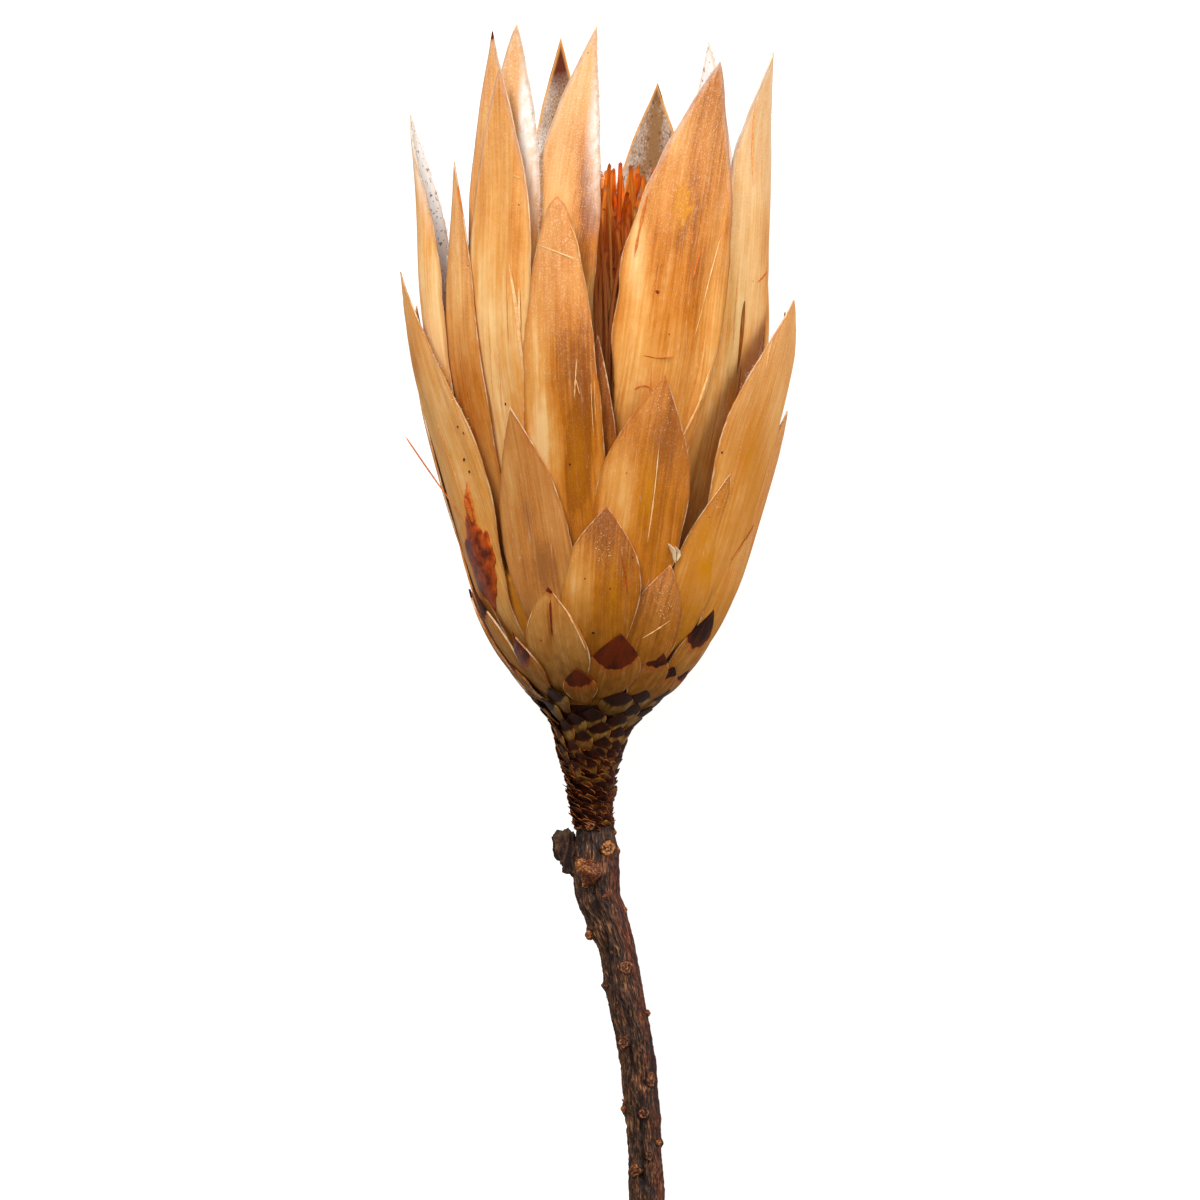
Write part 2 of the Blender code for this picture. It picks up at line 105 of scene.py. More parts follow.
TALL_FRONT = {
    "broad right": Bract(
        38, 19, 122.5, 42, 19.5, 0.58, 3.2, 2.4, 25, 0.84, 0.46, 0.1, 0.34, wool=0.4, point=0.85, lean=2.2,
        creases=((-0.72, -0.55, 0.7, -0.35), (0.45, 0.7, 1.0, -0.4), (0.1, 0.15, 1.2, 0.25)),
    ),
    "tall left": Bract(
        36, -35, 122.0, -35, 12.8, 0.62, 2.6, 1.4, 24, 0.5, 0.1, 0.1, 0.2, wool=0.3, point=0.95,
        creases=((-0.1, 0.0, 0.9, -0.35), (0.5, 0.4, 0.8, 0.3)),
    ),
    "tall middle": Bract(40, -20.5, 128.4, -1, 13.4, 0.56, 6.6, 1.0, 20, 0.36, 0.1, 0.0, 0.8, wool=1.02),
    "narrow left": Bract(36, -50, 106.6, -59, 9.8, 0.55, 2.2, -0.5, 20, 0.42, 0.6, 0.05, 0.4, wool=0.2),
    "far left": Bract(
        36, -72, 114.4, -87, 16.0, 0.62, 2.2, 3.2, 14, 0.26, 0.45, 0.05, 0.4, wool=0.95, twist=-26, roll=1.2,
        furl=0.8,
    ),
    "behind left": Bract(40, -45, 127.4, -45, 12.4, 0.62, 5.6, 0.9, 18, 0.45, 0.55, 0.0, 0.4, 1.0, wool=0.3),
    "woolly left": Bract(
        40, -38.5, 128.5, -32.8, 12.4, 0.66, 5.8, 1.2, 18, 0.32, 0.4, 0.0, 0.8, wool=2.2, point=0.85,
    ),
    "far right": Bract(
        36, 58.5, 124.2, 67, 13.4, 0.70, 4.6, 5.5, 20, 0.12, 0.34, 0.0, 0.7, wool=0.45,
        creases=((-0.8, -0.72, 0.5, -0.45), (0.1, 0.2, 1.0, 0.2)),
    ),
    # Its pale tone is painted light: it lies in shade between the broad right and far right bracts
    "between right": Bract(34, 44, 98.0, 51, 12.0, 0.60, 4.4, 0.2, 20, 0.3, 0.45, 0.1, 0.1),
    "sliver right": Bract(58, 54, 103.6, 57.5, 2.8, 0.6, 4.2, 0.2, 4, 1.0, 1.0, 0.0, 0.0),
    "rear woolly right": Bract(38, 137, 126.8, 141, 14.5, 0.60, 3.4, 2.2, 18, wool=0.9),
    "rear brown right": Bract(38, 163, 120.0, 160, 18, 0.60, 3.8, 1.6, 20, wool=-0.15, dark=2.5),
    "rear brown left": Bract(38, -165, 127.4, -166, 12.5, 0.60, 4.0, 1.2, 18, wool=-0.02, dark=8.0),
}
TALL_BACK = {
    "back right": Bract(37, 97, 112.0, 104, 14.0, 0.60, 4.2, 1.0, 20, 0.45, 0.5, blush=0.6),
    "back left": Bract(38, -134, 98.0, -140, 14.5, 0.58, 3.2, 1.4, 20, 0.5, 0.5),
    "side left": Bract(37, -106, 98.0, -110, 13.0, 0.60, 4.4, 1.0, 18, 0.42, 0.5),
    "inner right": Bract(40, 78, 104.0, 84, 10.0, 0.60, 6.0, 0.5, 18, 0.6, 0.7),
    "inner back": Bract(40, 180, 104.0, 180, 12.0, 0.60, 6.6, 0.5, 18, 0.55, 0.6),
}
MIDDLE_FRONT = {
    "slender front": Bract(
        29, -13, 101.0, -14, 13.4, 0.44, 0.9, -0.6, 22, 0.6, 0.72, 0.3, 0.35, point=0.55,
        creases=((0.0, 0.1, 2.2, 0.3), (-0.8, -0.7, 1.0, -0.25)),
    ),
    "slender behind": Bract(30, -2, 79.0, -1, 7.0, 0.55, 2.2, -0.6, 20, 1.0, 0.9, 0.1, 0.1),
    "outer left": Bract(
        26, -60, 89.2, -77, 18.0, 0.54, -0.2, 1.7, 20, 0.42, 0.3, 0.3, 0.15,
        creases=((0.1, 0.0, 1.6, 0.25), (0.6, 0.5, 1.0, -0.2)),
    ),
    "outer right": Bract(
        26, 58, 84.7, 72, 17.5, 0.66, -0.5, 0.7, 20, 0.42, 0.6, 0.5, 0.3, point=0.9,
        creases=((-0.2, -0.1, 1.6, 0.25),),
    ),
}
MIDDLE_BACK = {
    "middle 100": Bract(27, 100, 83.0, 106, 16.0, 0.56, 0.7, 0.2, 20, 0.5, 0.6, 0.35),
    "middle 146": Bract(27, 146, 97.0, 148, 16.5, 0.58, -1.1, 0.9, 16, 0.5, 0.6, 0.3),
    "middle -149": Bract(27, -149, 94.0, -150, 16.5, 0.58, -1.45, 0.9, 16, 0.45, 0.55, 0.3),
    "middle -90": Bract(27, -90, 78.0, -93, 13.0, 0.55, 1.6, 0.0, 18, 0.6, 0.5, 0.2),
    "middle -106": Bract(27, -106, 84.0, -104, 15.0, 0.56, 0.7, 0.2, 20, 0.5, 0.55, 0.35),
    "middle 180": Bract(29, 180, 92.0, 180, 13.0, 0.56, 3.6, 0.2, 20, 0.5, 0.6, 0.2),
}
LOW_FRONT = {
    "low left": Bract(
        24, -27, 67.6, -29.5, 13.2, 0.50, 0.0, 0.2, 18, 0.66, 0.62, 0.1, -0.38,
        creases=((0.0, 0.0, 1.8, 0.25),),
    ),
    "low right": Bract(
        24, 14, 72.5, 19.5, 15.6, 0.60, 0.0, 0.4, 20, 0.82, 0.88, 0.5, 0.12,
        creases=((0.1, 0.1, 0.7, -0.25), (-0.5, -0.4, 1.4, 0.2)),
    ),
    "low far right": Bract(25, 79, 67.0, 83, 14.0, 0.56, -0.7, 0.2, 18, 0.55, 0.7, 0.4, 0.3),
    "low granular": Bract(24, 44, 57.0, 50, 10.0, 0.52, -0.1, 0.4, 16, 0.66, 0.6, 1.0, 0.08),
    "low far left": Bract(23, -78, 56.8, -80, 11.0, 0.52, 0.9, 0.0, 16, 0.5, 0.5, 0.6, -0.3),
    "low edge right": Bract(22, 72, 48.8, 77, 11.5, 0.52, -0.6, 0.2, 14, 0.46, 0.5, 0.8, 0.2),
    "low middle": Bract(
        22, -1, 51.7, 2, 13.4, 0.58, -0.7, 0.2, 16, 0.9, 0.84, 0.55, 0.15,
        creases=((0.15, 0.1, 1.2, 0.2),),
    ),
}
LOW_BACK = {
    "low 123": Bract(24, 123, 69.0, 125, 14.0, 0.56, 0.2, 0.0, 18, 0.66, 0.65, 0.5, 0.3),
    "low 165": Bract(24, 165, 63.0, 166, 14.0, 0.56, 0.7, 0.0, 18, 0.7, 0.65, 0.45, 0.3),
    "low -168": Bract(24, -168, 70.0, -167, 14.0, 0.56, 0.9, 0.0, 18, 0.6, 0.65, 0.5, 0.3),
    "low -127": Bract(24, -127, 66.0, -127, 14.0, 0.56, 0.2, 0.0, 18, 0.7, 0.6, 0.45, 0.3),
    "low 102": Bract(23, 102, 53.0, 103, 12.0, 0.54, -0.4, 0.0, 15, 0.7, 0.65, 0.55, 0.3),
    "low 145": Bract(23, 145, 50.0, 145, 12.0, 0.54, -0.4, 0.0, 15, 0.7, 0.65, 0.55, 0.3),
    "low -171": Bract(23, -171, 52.0, -171, 12.5, 0.54, -0.4, 0.0, 15, 0.65, 0.65, 0.6, 0.3),
    "low -145": Bract(23, -145, 47.0, -146, 12.0, 0.54, -0.5, 0.0, 15, 0.7, 0.65, 0.55, 0.3),
    "low -104": Bract(23, -104, 51.0, -104, 12.5, 0.54, 0.7, 0.0, 15, 0.6, 0.6, 0.55, 0.3),
}
SCALES_FRONT = {
    "scale left": Bract(19.8, -26, 38.9, -23, 11.6, 0.46, -0.4, 0.0, 14, 0.48, 0.5, 0.35, -0.12, 0.9),
    "scale resinous": Bract(20.5, 25, 42.4, 29, 11.2, 0.50, -0.5, 0.0, 14, 0.9, 0.84, 0.55, 0.2),
    "scale far left": Bract(20.5, -72, 38.7, -73, 9.5, 0.46, -0.2, 0.0, 12, 0.6, 0.6, 0.7, 0.2, 5.0),
    "scale far right": Bract(20.5, 62, 35.2, 63, 8.0, 0.50, -0.4, 0.0, 12, 0.7, 0.65, 0.7, 0.2, 6.2),
    "scale oval": Bract(20.5, -50, 30.8, -49, 6.6, 0.50, -0.5, 0.0, 10, 0.6, 0.6, 0.6, 0.1),
    "scale triangle": Bract(20.2, 8, 31.4, 10, 9.0, 0.50, -0.8, 0.0, 12, 0.8, 0.7, 0.5, 0.2, 6.0),
    "scale right": Bract(20.0, 35, 28.6, 36, 6.6, 0.50, -0.6, 0.0, 10, 0.8, 0.7, 0.6, 0.2, 2.6),
    "scale black": Bract(19.8, -14, 25.8, -15, 6.0, 0.50, -0.7, 0.0, 8, 0.8, 0.7, 0.6, 0.1, 3.0),
    "scale edge right": Bract(19.8, 52, 26.0, 52, 5.6, 0.50, -0.6, 0.0, 8, 0.8, 0.7, 0.6, 0.1, 1.8),
    "scale edge left": Bract(19.8, -76, 27.2, -75, 6.6, 0.50, -0.4, 0.0, 8, 0.8, 0.7, 0.6, 0.1, 2.6),
}
FACING = {**TALL_FRONT, **MIDDLE_FRONT, **LOW_FRONT, **SCALES_FRONT}
# Rows of broad scales that go on round the back: tip height, first and last turn, how many, width
SCALE_ROWS = ((38.5, 92, 262, 5, 10.5), (31.5, 80, 272, 7, 8.0), (25.8, 76, 270, 8, 6.4))
SCALE_FOOT, SCALE_THICK = 19.8, 0.7

# Tips of the small scales that face the viewer: right, up, width
SMALL_FRONT = (
    (-8.2, 22.6, 5.0), (-9.4, 21.1, 4.4), (3.7, 22.1, 5.4), (-1.3, 19.5, 5.0), (-4.6, 18.7, 4.2),
    (3.8, 18.6, 4.2), (-6.2, 17.6, 3.8), (0.3, 17.3, 4.0), (3.5, 16.5, 3.6), (-2.9, 16.0, 3.6),
    (-7.2, 16.3, 3.2), (0.8, 15.0, 3.4), (-4.8, 14.4, 3.2), (-1.3, 13.1, 3.2), (7.4, 22.4, 5.0),
    (6.2, 20.2, 4.4),
)
SMALL_LATER = (
    (3.0, 14.4, 3.2), (-6.6, 13.8, 3.0), (-3.8, 12.5, 3.0), (-0.1, 13.3, 3.0), (1.9, 13.1, 3.0),
    (-5.9, 11.8, 2.8), (-1.9, 11.5, 2.8), (0.8, 11.7, 2.8), (2.6, 11.9, 2.8), (-4.6, 11.2, 2.6),
)
SMALL_BACK_ROWS = (
    (22.6, 11), (21.0, 11), (19.4, 10), (17.8, 10), (16.2, 9), (14.8, 9), (13.4, 9), (12.0, 9)
)
SMALL_LONG, SMALL_THICK = 4.8, 0.45
# The rows round the back leave out what the viewer sees, in degrees
BACK_FROM, BACK_SPAN = 72, 216
RAGGED, RAGGED_THICK = 210, 0.2
RAGGED_FOOT, RAGGED_TOP = 0.4, 13.4
# Thin dry spikes on the neck: foot right and up, tip right and up
SPIKES = (
    (-6.3, 12.6, -7.3, 13.0), (-5.2, 8.2, -6.2, 8.8), (-4.4, 4.6, -5.5, 4.8), (-4.0, 2.6, -5.1, 2.8),
    (-3.8, 0.9, -5.2, 1.0), (1.9, 5.0, 2.5, 5.3), (1.8, 3.4, 2.4, 3.8),
)
SPIKE_RADIUS = 0.24

# Scuffs, cracks and strands on one bract each: bract, half width, how proud, tone from dark 0 to
# cream 1, then places right and up
STRANDS = (
    ("slender front", 0.1, 0.04, 0.78, (-10.6, 93.4), (-6.4, 91.9), (-2.4, 90.6)),
    ("slender front", 0.07, 0.04, 0.7, (-5.1, 97.3), (-3.7, 93.9), (-2.8, 90.4)),
    ("slender front", 0.088, 0.04, 0.76, (-3.7, 75.2), (-3.9, 72.0), (-4.1, 68.8)),
    ("slender front", 0.068, 0.04, 0.76, (-3.9, 72.0), (-3.5, 70.6), (-3.2, 69.4)),
    ("slender front", 0.061, 0.04, 0.71, (-1.6, 78.4), (-1.4, 70.0), (-1.0, 62.4)),
    ("slender front", 0.048, 0.04, 0.71, (-0.8, 76.8), (-0.9, 70.0), (-0.6, 64.8)),
    ("tall left", 0.095, 0.05, 0.76, (-13.9, 104.3), (-13.2, 104.1), (-12.5, 103.8)),
    ("tall left", 0.11, 0.08, 0.71, (-16.5, 84.8), (-16.1, 75.0), (-15.5, 65.6)),
    ("tall left", 0.068, 0.06, 0.66, (-17.9, 86.4), (-17.5, 77.0), (-17.0, 68.8)),
    ("tall left", 0.054, 0.05, 0.51, (-14.9, 92.0), (-14.6, 80.0), (-13.8, 66.0)),
    ("broad right", 0.09, 0.06, 0.76, (19.3, 95.0), (17.4, 88.0), (15.0, 78.5)),
    ("broad right", 0.19, 0.1, 0.71, (17.6, 74.0), (15.6, 68.0), (12.9, 62.4)),
    ("broad right", 0.095, 0.08, 0.56, (16.9, 80.0), (15.4, 73.0), (13.6, 66.4)),
    ("broad right", 0.2, 0.09, 0.48, (14.7, 87.7), (15.3, 90.2), (16.0, 92.5)),
    ("broad right", 0.15, 0.05, 0.5, (6.7, 75.7), (9.1, 75.3), (11.7, 75.5)),
    ("broad right", 0.13, 0.04, 0.5, (5.3, 70.2), (6.7, 70.9), (8.3, 70.4)),
    ("broad right", 0.17, 0.12, 0.5, (7.6, 101.6), (6.4, 96.3), (5.4, 91.2)),
    ("broad right", 0.08, 0.03, 0.5, (8.6, 80.0), (8.1, 72.0), (7.8, 66.0)),
    ("far right", 0.18, 0.09, 0.48, (25.1, 87.4), (25.9, 88.3), (26.6, 89.3)),
    ("far right", 0.068, 0.06, 0.66, (22.0, 90.0), (21.2, 78.0), (20.3, 68.0)),
    ("narrow left", 0.14, 0.04, 0.5, (-22.6, 103.0), (-21.8, 100.6), (-21.0, 97.6)),
    ("low right", 0.095, 0.05, 0.81, (9.4, 61.4), (8.6, 53.6), (7.5, 45.6)),
    ("low right", 0.048, 0.04, 0.66, (6.0, 62.0), (5.2, 55.0), (4.4, 49.0)),
    ("scale left", 0.12, 0.06, 0.71, (-5.4, 35.4), (-3.7, 32.0), (-2.2, 28.6)),
    ("scale left", 0.2, 0.03, 0.25, (-7.9, 37.0), (-7.8, 34.0), (-7.6, 31.0)),
    ("scale resinous", 0.082, 0.05, 0.76, (6.6, 30.6), (8.9, 32.0), (11.2, 33.6)),
    ("outer right", 0.088, 0.05, 0.71, (27.2, 78.4), (26.8, 76.0), (26.4, 73.6)),
    ("outer right", 0.082, 0.05, 0.61, (24.0, 68.0), (22.2, 60.0), (20.6, 52.8)),
    ("low middle", 0.12, 0.04, 0.4, (3.4, 44.0), (4.0, 41.0), (4.4, 37.6)),
    ("low left", 0.048, 0.04, 0.56, (-13.4, 60.0), (-12.8, 52.0), (-11.2, 42.0)),
    ("outer left", 0.061, 0.04, 0.61, (-28.8, 76.0), (-25.6, 64.0), (-21.6, 53.0)),
)
# Loose torn slivers of bract that stand clear: bract, half width, how proud, tone, places
SLIVERS = (
    ("tall left", 0.34, 0.3, 0.72, (-14.4, 90.5), (-13.4, 84.4), (-12.6, 77.6), (-11.4, 68.8)),
    ("tall left", 0.2, 0.4, 0.75, (-12.7, 86.4), (-12.7, 83.0), (-12.5, 80.0)),
    ("far right", 0.16, 0.15, 0.66, (24.2, 117.0), (24.2, 110.0), (24.3, 102.4)),
    ("low right", 0.42, 0.5, 0.9, (10.6, 45.8), (11.4, 44.6), (12.4, 42.6)),
    ("low right", 0.3, 0.7, 0.9, (11.6, 45.4), (12.2, 44.2), (12.6, 43.0)),
    ("outer left", 0.5, 0.5, 0.45, (-21.2, 53.2), (-20.6, 51.6), (-19.8, 49.0)),
)
# A loose dry fibre that stands off the head: places right, up and to the back
FIBRE = ((-31.2, 63.1, -8.0), (-28.4, 59.0, -9.4), (-25.6, 55.0, -10.6), (-20.8, 48.4, -13.6))
FIBRE_RADIUS = 0.24
# Specks: bract, right, up, radius, tone
SPECKS = (
    ("tall left", -15.0, 68.0, 0.22, 0.0), ("tall left", -12.9, 99.6, 0.13, 0.2),
    ("outer left", -21.6, 59.2, 0.26, 0.1), ("outer left", -20.8, 57.3, 0.23, 0.15),
    ("outer left", -22.6, 64.4, 0.2, 0.2), ("outer left", -21.7, 63.4, 0.22, 0.25),
    ("broad right", 9.1, 85.8, 0.3, 0.3), ("broad right", 11.0, 79.0, 0.14, 0.3),
    ("slender front", -7.9, 52.0, 0.22, 0.2), ("slender front", -6.4, 50.0, 0.24, 0.3),
    ("slender front", -4.8, 58.4, 0.16, 0.1), ("slender front", -5.9, 47.8, 0.19, 0.3),
    ("low right", 4.2, 57.0, 0.14, 0.3), ("outer right", 19.4, 60.3, 0.19, 0.1),
    ("low middle", -2.4, 40.2, 0.14, 0.1), ("low middle", -1.1, 31.6, 0.22, 0.0),
    ("low middle", 1.6, 38.6, 0.14, 0.15), ("scale left", -9.4, 30.4, 0.18, 0.35),
    ("low granular", 17.4, 50.0, 0.14, 0.35), ("narrow left", -21.0, 90.0, 0.11, 0.2),
)
# Patches of fine pale resin grains: bract, right, up, half width, half height, how many
GRAINS = (
    ("scale resinous", 10.2, 36.6, 1.6, 2.8, 70), ("low middle", 0.5, 45.0, 1.3, 2.6, 45),
    ("low granular", 19.4, 53.4, 1.2, 2.8, 50), ("low right", 9.6, 67.6, 2.4, 4.4, 50),
    ("broad right", 18.2, 112.0, 1.8, 6.5, 60), ("far right", 26.8, 112.0, 1.2, 6.0, 25),
    ("outer right", 29.0, 78.0, 1.0, 4.0, 25), ("slender front", -6.6, 96.0, 1.2, 3.4, 25),
)
GRAIN_RADIUS = 0.075
# Dried resin patches: bract, right, up, half width, half height, how proud, lean in degrees, tone
RESIN = (
    ("outer left", -18.9, 42.7, 1.8, 7.2, 0.6, -16, 0.3),
    ("outer left", -20.6, 50.4, 0.7, 5.0, 0.35, -8, 0.42),
    ("outer left", -18.0, 44.4, 1.2, 3.4, 0.5, -10, 0.34),
    ("scale oval", -12.7, 28.8, 1.3, 3.0, 0.2, -16, 0.22),
)
# Woolly margins: bract, which side, from and to up the bract, how many hairs
WOOLLY = (
    ("far left", -1, 0.66, 0.99, 420), ("far left", 1, 0.8, 0.99, 60), ("woolly left", 1, 0.6, 0.97, 320),
    ("behind left", 1, 0.8, 0.97, 60), ("tall middle", 1, 0.72, 0.98, 200), ("tall middle", -1, 0.6, 0.8, 60),
    ("rear brown left", -1, 0.55, 0.9, 120), ("rear brown right", 1, 0.6, 0.95, 200),
    ("rear woolly right", -1, 0.6, 0.98, 300), ("rear woolly right", 1, 0.6, 0.98, 200),
    ("far right", -1, 0.6, 0.85, 160), ("narrow left", -1, 0.7, 0.97, 80), ("outer left", 1, 0.6, 0.85, 40),
    ("outer right", -1, 0.75, 0.98, 60),
)
HAIR_RADIUS = 0.03
HAIR_BOW = ((-0.2, 0.2), (-0.2, 0.2), (-0.1, 0.3))
# Stains, and one painted shadow, on one bract each: bract, right, up, half width, half height, how soft,
# tone, olive
STAINS_AND_SHADE = (
    ("broad right", 13.1, 99.6, 1.35, 3.3, 0.12, 0.15, 1.4),
    ("broad right", 12.6, 95.0, 0.8, 1.2, 0.7, 0.14, 0.3),
    ("broad right", 18.0, 79.0, 2.0, 18.0, 0.9, -0.2, 0.0),
    ("broad right", 8.8, 92.0, 1.8, 8.0, 0.95, 0.25, 0.0),
    ("broad right", 6.0, 96.0, 1.6, 13.0, 0.9, -0.4, 0.0),
    ("broad right", 12.6, 110.0, 2.0, 9.0, 0.9, -0.25, 0.0),
    ("broad right", 8.0, 75.0, 2.4, 7.0, 0.95, -0.15, 0.0),
    ("broad right", 14.6, 90.0, 3.2, 14.0, 0.9, 0.16, 0.0),
    ("broad right", 5.6, 80.0, 2.0, 14.0, 0.95, -0.25, 0.0),
    ("broad right", 10.0, 110.0, 2.4, 8.0, 0.95, -0.1, 0.0),
    ("tall left", -17.4, 78.0, 1.6, 16.0, 0.7, -0.12, 0.25),
    ("tall left", -13.4, 92.0, 1.6, 9.0, 0.8, 0.25, 0.0),
    ("tall left", -18.6, 100.0, 1.2, 9.0, 0.9, 0.2, 0.0),
    ("tall left", -13.4, 64.0, 1.4, 9.0, 0.9, 0.35, 0.0),
    ("tall middle", -1.8, 98.0, 2.6, 11.0, 0.9, 0.8, 0.0),
    ("tall middle", -3.2, 109.0, 2.4, 7.0, 0.9, 0.2, 0.0),
    ("tall middle", -8.5, 92.0, 2.0, 12.0, 0.9, 0.1, 0.0),
    ("slender front", -2.4, 68.0, 1.8, 15.0, 0.9, 0.5, 0.0),
    ("slender front", -5.6, 75.0, 2.2, 9.0, 0.9, 0.25, 0.0),
    ("slender front", -10.2, 71.0, 1.9, 16.0, 0.9, -0.45, 0.0),
    ("slender front", -8.8, 61.0, 2.2, 8.0, 0.9, -0.65, 0.0),
    # Painted shadow: the darker olive fold down the right of the slender front's lower part
    ("slender front", -3.8, 58.0, 1.7, 8.0, 0.9, 0.75, 0.3),
    ("slender front", -4.4, 89.0, 1.6, 6.0, 0.9, -0.12, 0.0),
    ("narrow left", -21.4, 64.0, 2.2, 14.0, 0.8, 0.2, 0.0),
    ("narrow left", -22.6, 88.0, 1.0, 9.0, 0.9, -0.2, 0.0),
    ("low left", -12.2, 50.0, 1.6, 9.0, 0.8, 0.15, 0.0),
    ("low left", -8.6, 42.0, 2.4, 5.0, 0.9, 0.4, 0.1),
    ("low left", -14.8, 56.0, 1.4, 6.0, 0.9, -0.15, 0.0),
    ("low right", 3.2, 54.0, 3.0, 10.0, 0.9, -0.5, 0.0),
    ("low right", 7.5, 55.0, 1.4, 8.0, 0.8, 0.1, 0.6),
    ("low right", 10.5, 62.0, 2.0, 5.0, 0.8, 0.15, 0.0),
    ("low middle", -3.2, 39.0, 2.8, 8.0, 0.9, -0.5, 0.1),
    ("low middle", 1.0, 47.5, 2.6, 4.0, 0.9, 0.12, 0.0),
    ("low middle", 2.0, 37.0, 1.0, 7.0, 0.8, 0.2, 0.6),
    ("low granular", 17.0, 44.0, 2.0, 6.0, 0.7, -0.1, 0.9),
    ("outer left", -26.4, 66.0, 2.4, 10.0, 0.9, -0.1, 0.1),
    ("outer left", -29.6, 74.0, 1.0, 8.0, 0.9, 0.2, 0.0),
    ("outer left", -19.0, 44.0, 4.0, 8.0, 0.8, 0.15, 0.2),
    ("outer right", 24.6, 62.0, 2.0, 12.0, 0.9, 0.1, 0.4),
    ("outer right", 28.6, 66.0, 1.4, 10.0, 0.9, -0.2, 0.3),
    ("far right", 23.2, 82.0, 3.0, 10.0, 0.9, -0.1, 0.0),
    ("far right", 26.6, 92.0, 1.0, 10.0, 0.9, 0.25, 0.0),
    ("far left", -26.8, 79.0, 2.4, 14.0, 0.9, -0.4, 0.0),
    ("scale left", -8.0, 33.0, 0.6, 5.0, 0.7, 0.4, 0.0),
    ("scale left", -4.5, 29.0, 1.5, 3.0, 0.8, -0.25, 0.3),
)

# The cut side branch: right, up, front and radius along its middle, and the nub under it
STUB = ((-2.4, -7.2, 0.3, 1.3), (-4.2, -5.6, 0.3, 1.6), (-5.5, -3.4, 0.3, 1.8), (-5.9, 0.0, 0.3, 1.8))
NUB = ((-5.2, -6.3, 0.2), (0.9, 0.75, 0.9))
# Leaf scars: right, up, half width, half height, tone of their cork
SCARS = (
    (1.1, -2.8, 1.2, 1.1, 0.5), (4.1, -21.9, 1.0, 1.0, 0.36), (4.0, -33.9, 0.85, 0.85, 0.34),
    (8.0, -39.9, 0.7, 1.1, 0.34), (7.0, -45.2, 0.8, 0.8, 0.3), (5.8, -54.5, 0.95, 0.95, 0.34),
    (7.8, -52.0, 0.55, 0.75, 0.32), (-1.6, 0.6, 0.8, 0.6, 0.36),
)
# A scar's profile from its middle out and round under it: share of its radius, how proud
SCAR_RIM = (
    (0.0, 0.24), (0.3, 0.22), (0.5, 0.1), (0.72, 0.3), (0.88, 0.34), (1.0, 0.22), (1.15, -0.15), (1.25, -0.9),
    (0.0, -0.9),
)
# Scars behind: turn in degrees, up, half width
BACK_SCARS = ((172, -10.0, 1.1), (-160, -29.0, 1.0), (140, -38.0, 1.0), (150, -55.0, 0.9))
# Buds and knobs: right, up, how proud, radius, tone of their cork
BUDS = (
    (-2.6, -5.4, 1.1, 1.0, 0.42), (-1.6, -6.7, 0.8, 1.9, 0.27), (2.3, -0.4, 0.3, 0.5, 0.4),
    (2.7, -3.4, 0.3, 0.6, 0.3), (-2.1, -8.6, 0.7, 0.6, 0.42), (-1.4, -16.8, 0.8, 0.85, 0.34),
    (7.6, -29.3, 0.3, 0.6, 0.3), (3.6, -44.6, 0.5, 0.6, 0.38), (9.2, -50.0, 0.4, 0.5, 0.34),
    (3.8, -12.8, 0.2, 0.7, 0.4), (1.0, -10.6, 0.2, 0.6, 0.25),
)
# Thorns: foot right and up, tip right and up, radius
THORNS = (
    (-1.2, -15.9, -2.2, -15.3, 0.4), (1.1, -25.0, 0.1, -24.9, 0.35), (3.7, -44.0, 3.4, -42.9, 0.35),
    (-2.9, 0.4, -4.3, 0.2, 0.35),
)
# Long grooves in the bark: right and up at both ends, half width, depth
GROOVES = (
    (0.8, -16.0, 1.9, -28.8, 0.45, 0.7), (4.4, -26.0, 5.2, -40.0, 0.35, 0.35),
    (6.4, -42.0, 7.0, -58.0, 0.35, 0.4), (-0.9, -9.5, 0.2, -15.0, 0.4, 0.45),
    (8.2, -30.0, 9.2, -46.0, 0.3, 0.3),
)
BARK_ABOUT, BARK_ALONG = 180, 400
BARK_WANDER, STRING_LONG, CRACK_SHARPNESS = 0.22, 2.8, 2.6
# Depth of the bark's strings and of the finer ones on them, its waves and its bumps
STRING_DEEP, FINE_DEEP, WAVE_DEEP, BUMP_DEEP = 0.2, 0.13, 0.3, 0.12
# Each knob swells the bark round it, out to this many of its radii
SWELL_REACH = 2.2

# The stem's middle line from its top: right, up, front and half width
STEM = (
    (-0.8, 0.0, 0.0, 3.0), (-0.55, -5.0, 0.0, 3.55), (-0.05, -11.2, 0.2, 3.6), (2.75, -19.2, 0.5, 3.0),
    (4.2, -27.2, 0.7, 3.0), (5.8, -35.2, 0.7, 2.9), (6.6, -43.2, 0.5, 2.75), (7.2, -51.2, 0.3, 2.7),
    (7.5, -61.5, 0.13, 2.8),
)
STEM_TOP, STEM_FOOT = 0.6, -61.5
# Where knobs sit: height, turn in degrees, how proud, radius
KNOBS = (
    (-2.8, 32, 0.3, 1.3), (-5.9, -42, 0.7, 1.2), (-7.0, 2, 0.7, 1.3), (-3.4, 90, 0.4, 0.8),
    (-12.6, 75, 0.3, 1.1), (-16.6, -92, 1.3, 1.0), (-21.9, 14, 0.35, 1.1), (-24.9, -92, 0.9, 0.6),
    (-33.9, -33, 0.35, 1.1), (-39.9, 42, 0.3, 1.0), (-44.6, -90, 1.0, 0.9), (-45.2, 6, 0.3, 0.9),
    (-50.0, 75, 0.5, 0.7), (-52.0, 13, 0.3, 0.9), (-54.5, -33, 0.35, 1.1), (-10.0, 172, 0.7, 1.1),
    (-29.0, -160, 0.4, 1.0), (-38.0, 140, 0.4, 1.0),
)

# The florets' core as radius and height
FLORET_CORE = ((0.0, 80.0), (4.0, 78.5), (7.0, 72.0), (9.0, 60.0), (11.0, 50.0), (12.5, 43.8), (0.0, 43.8))
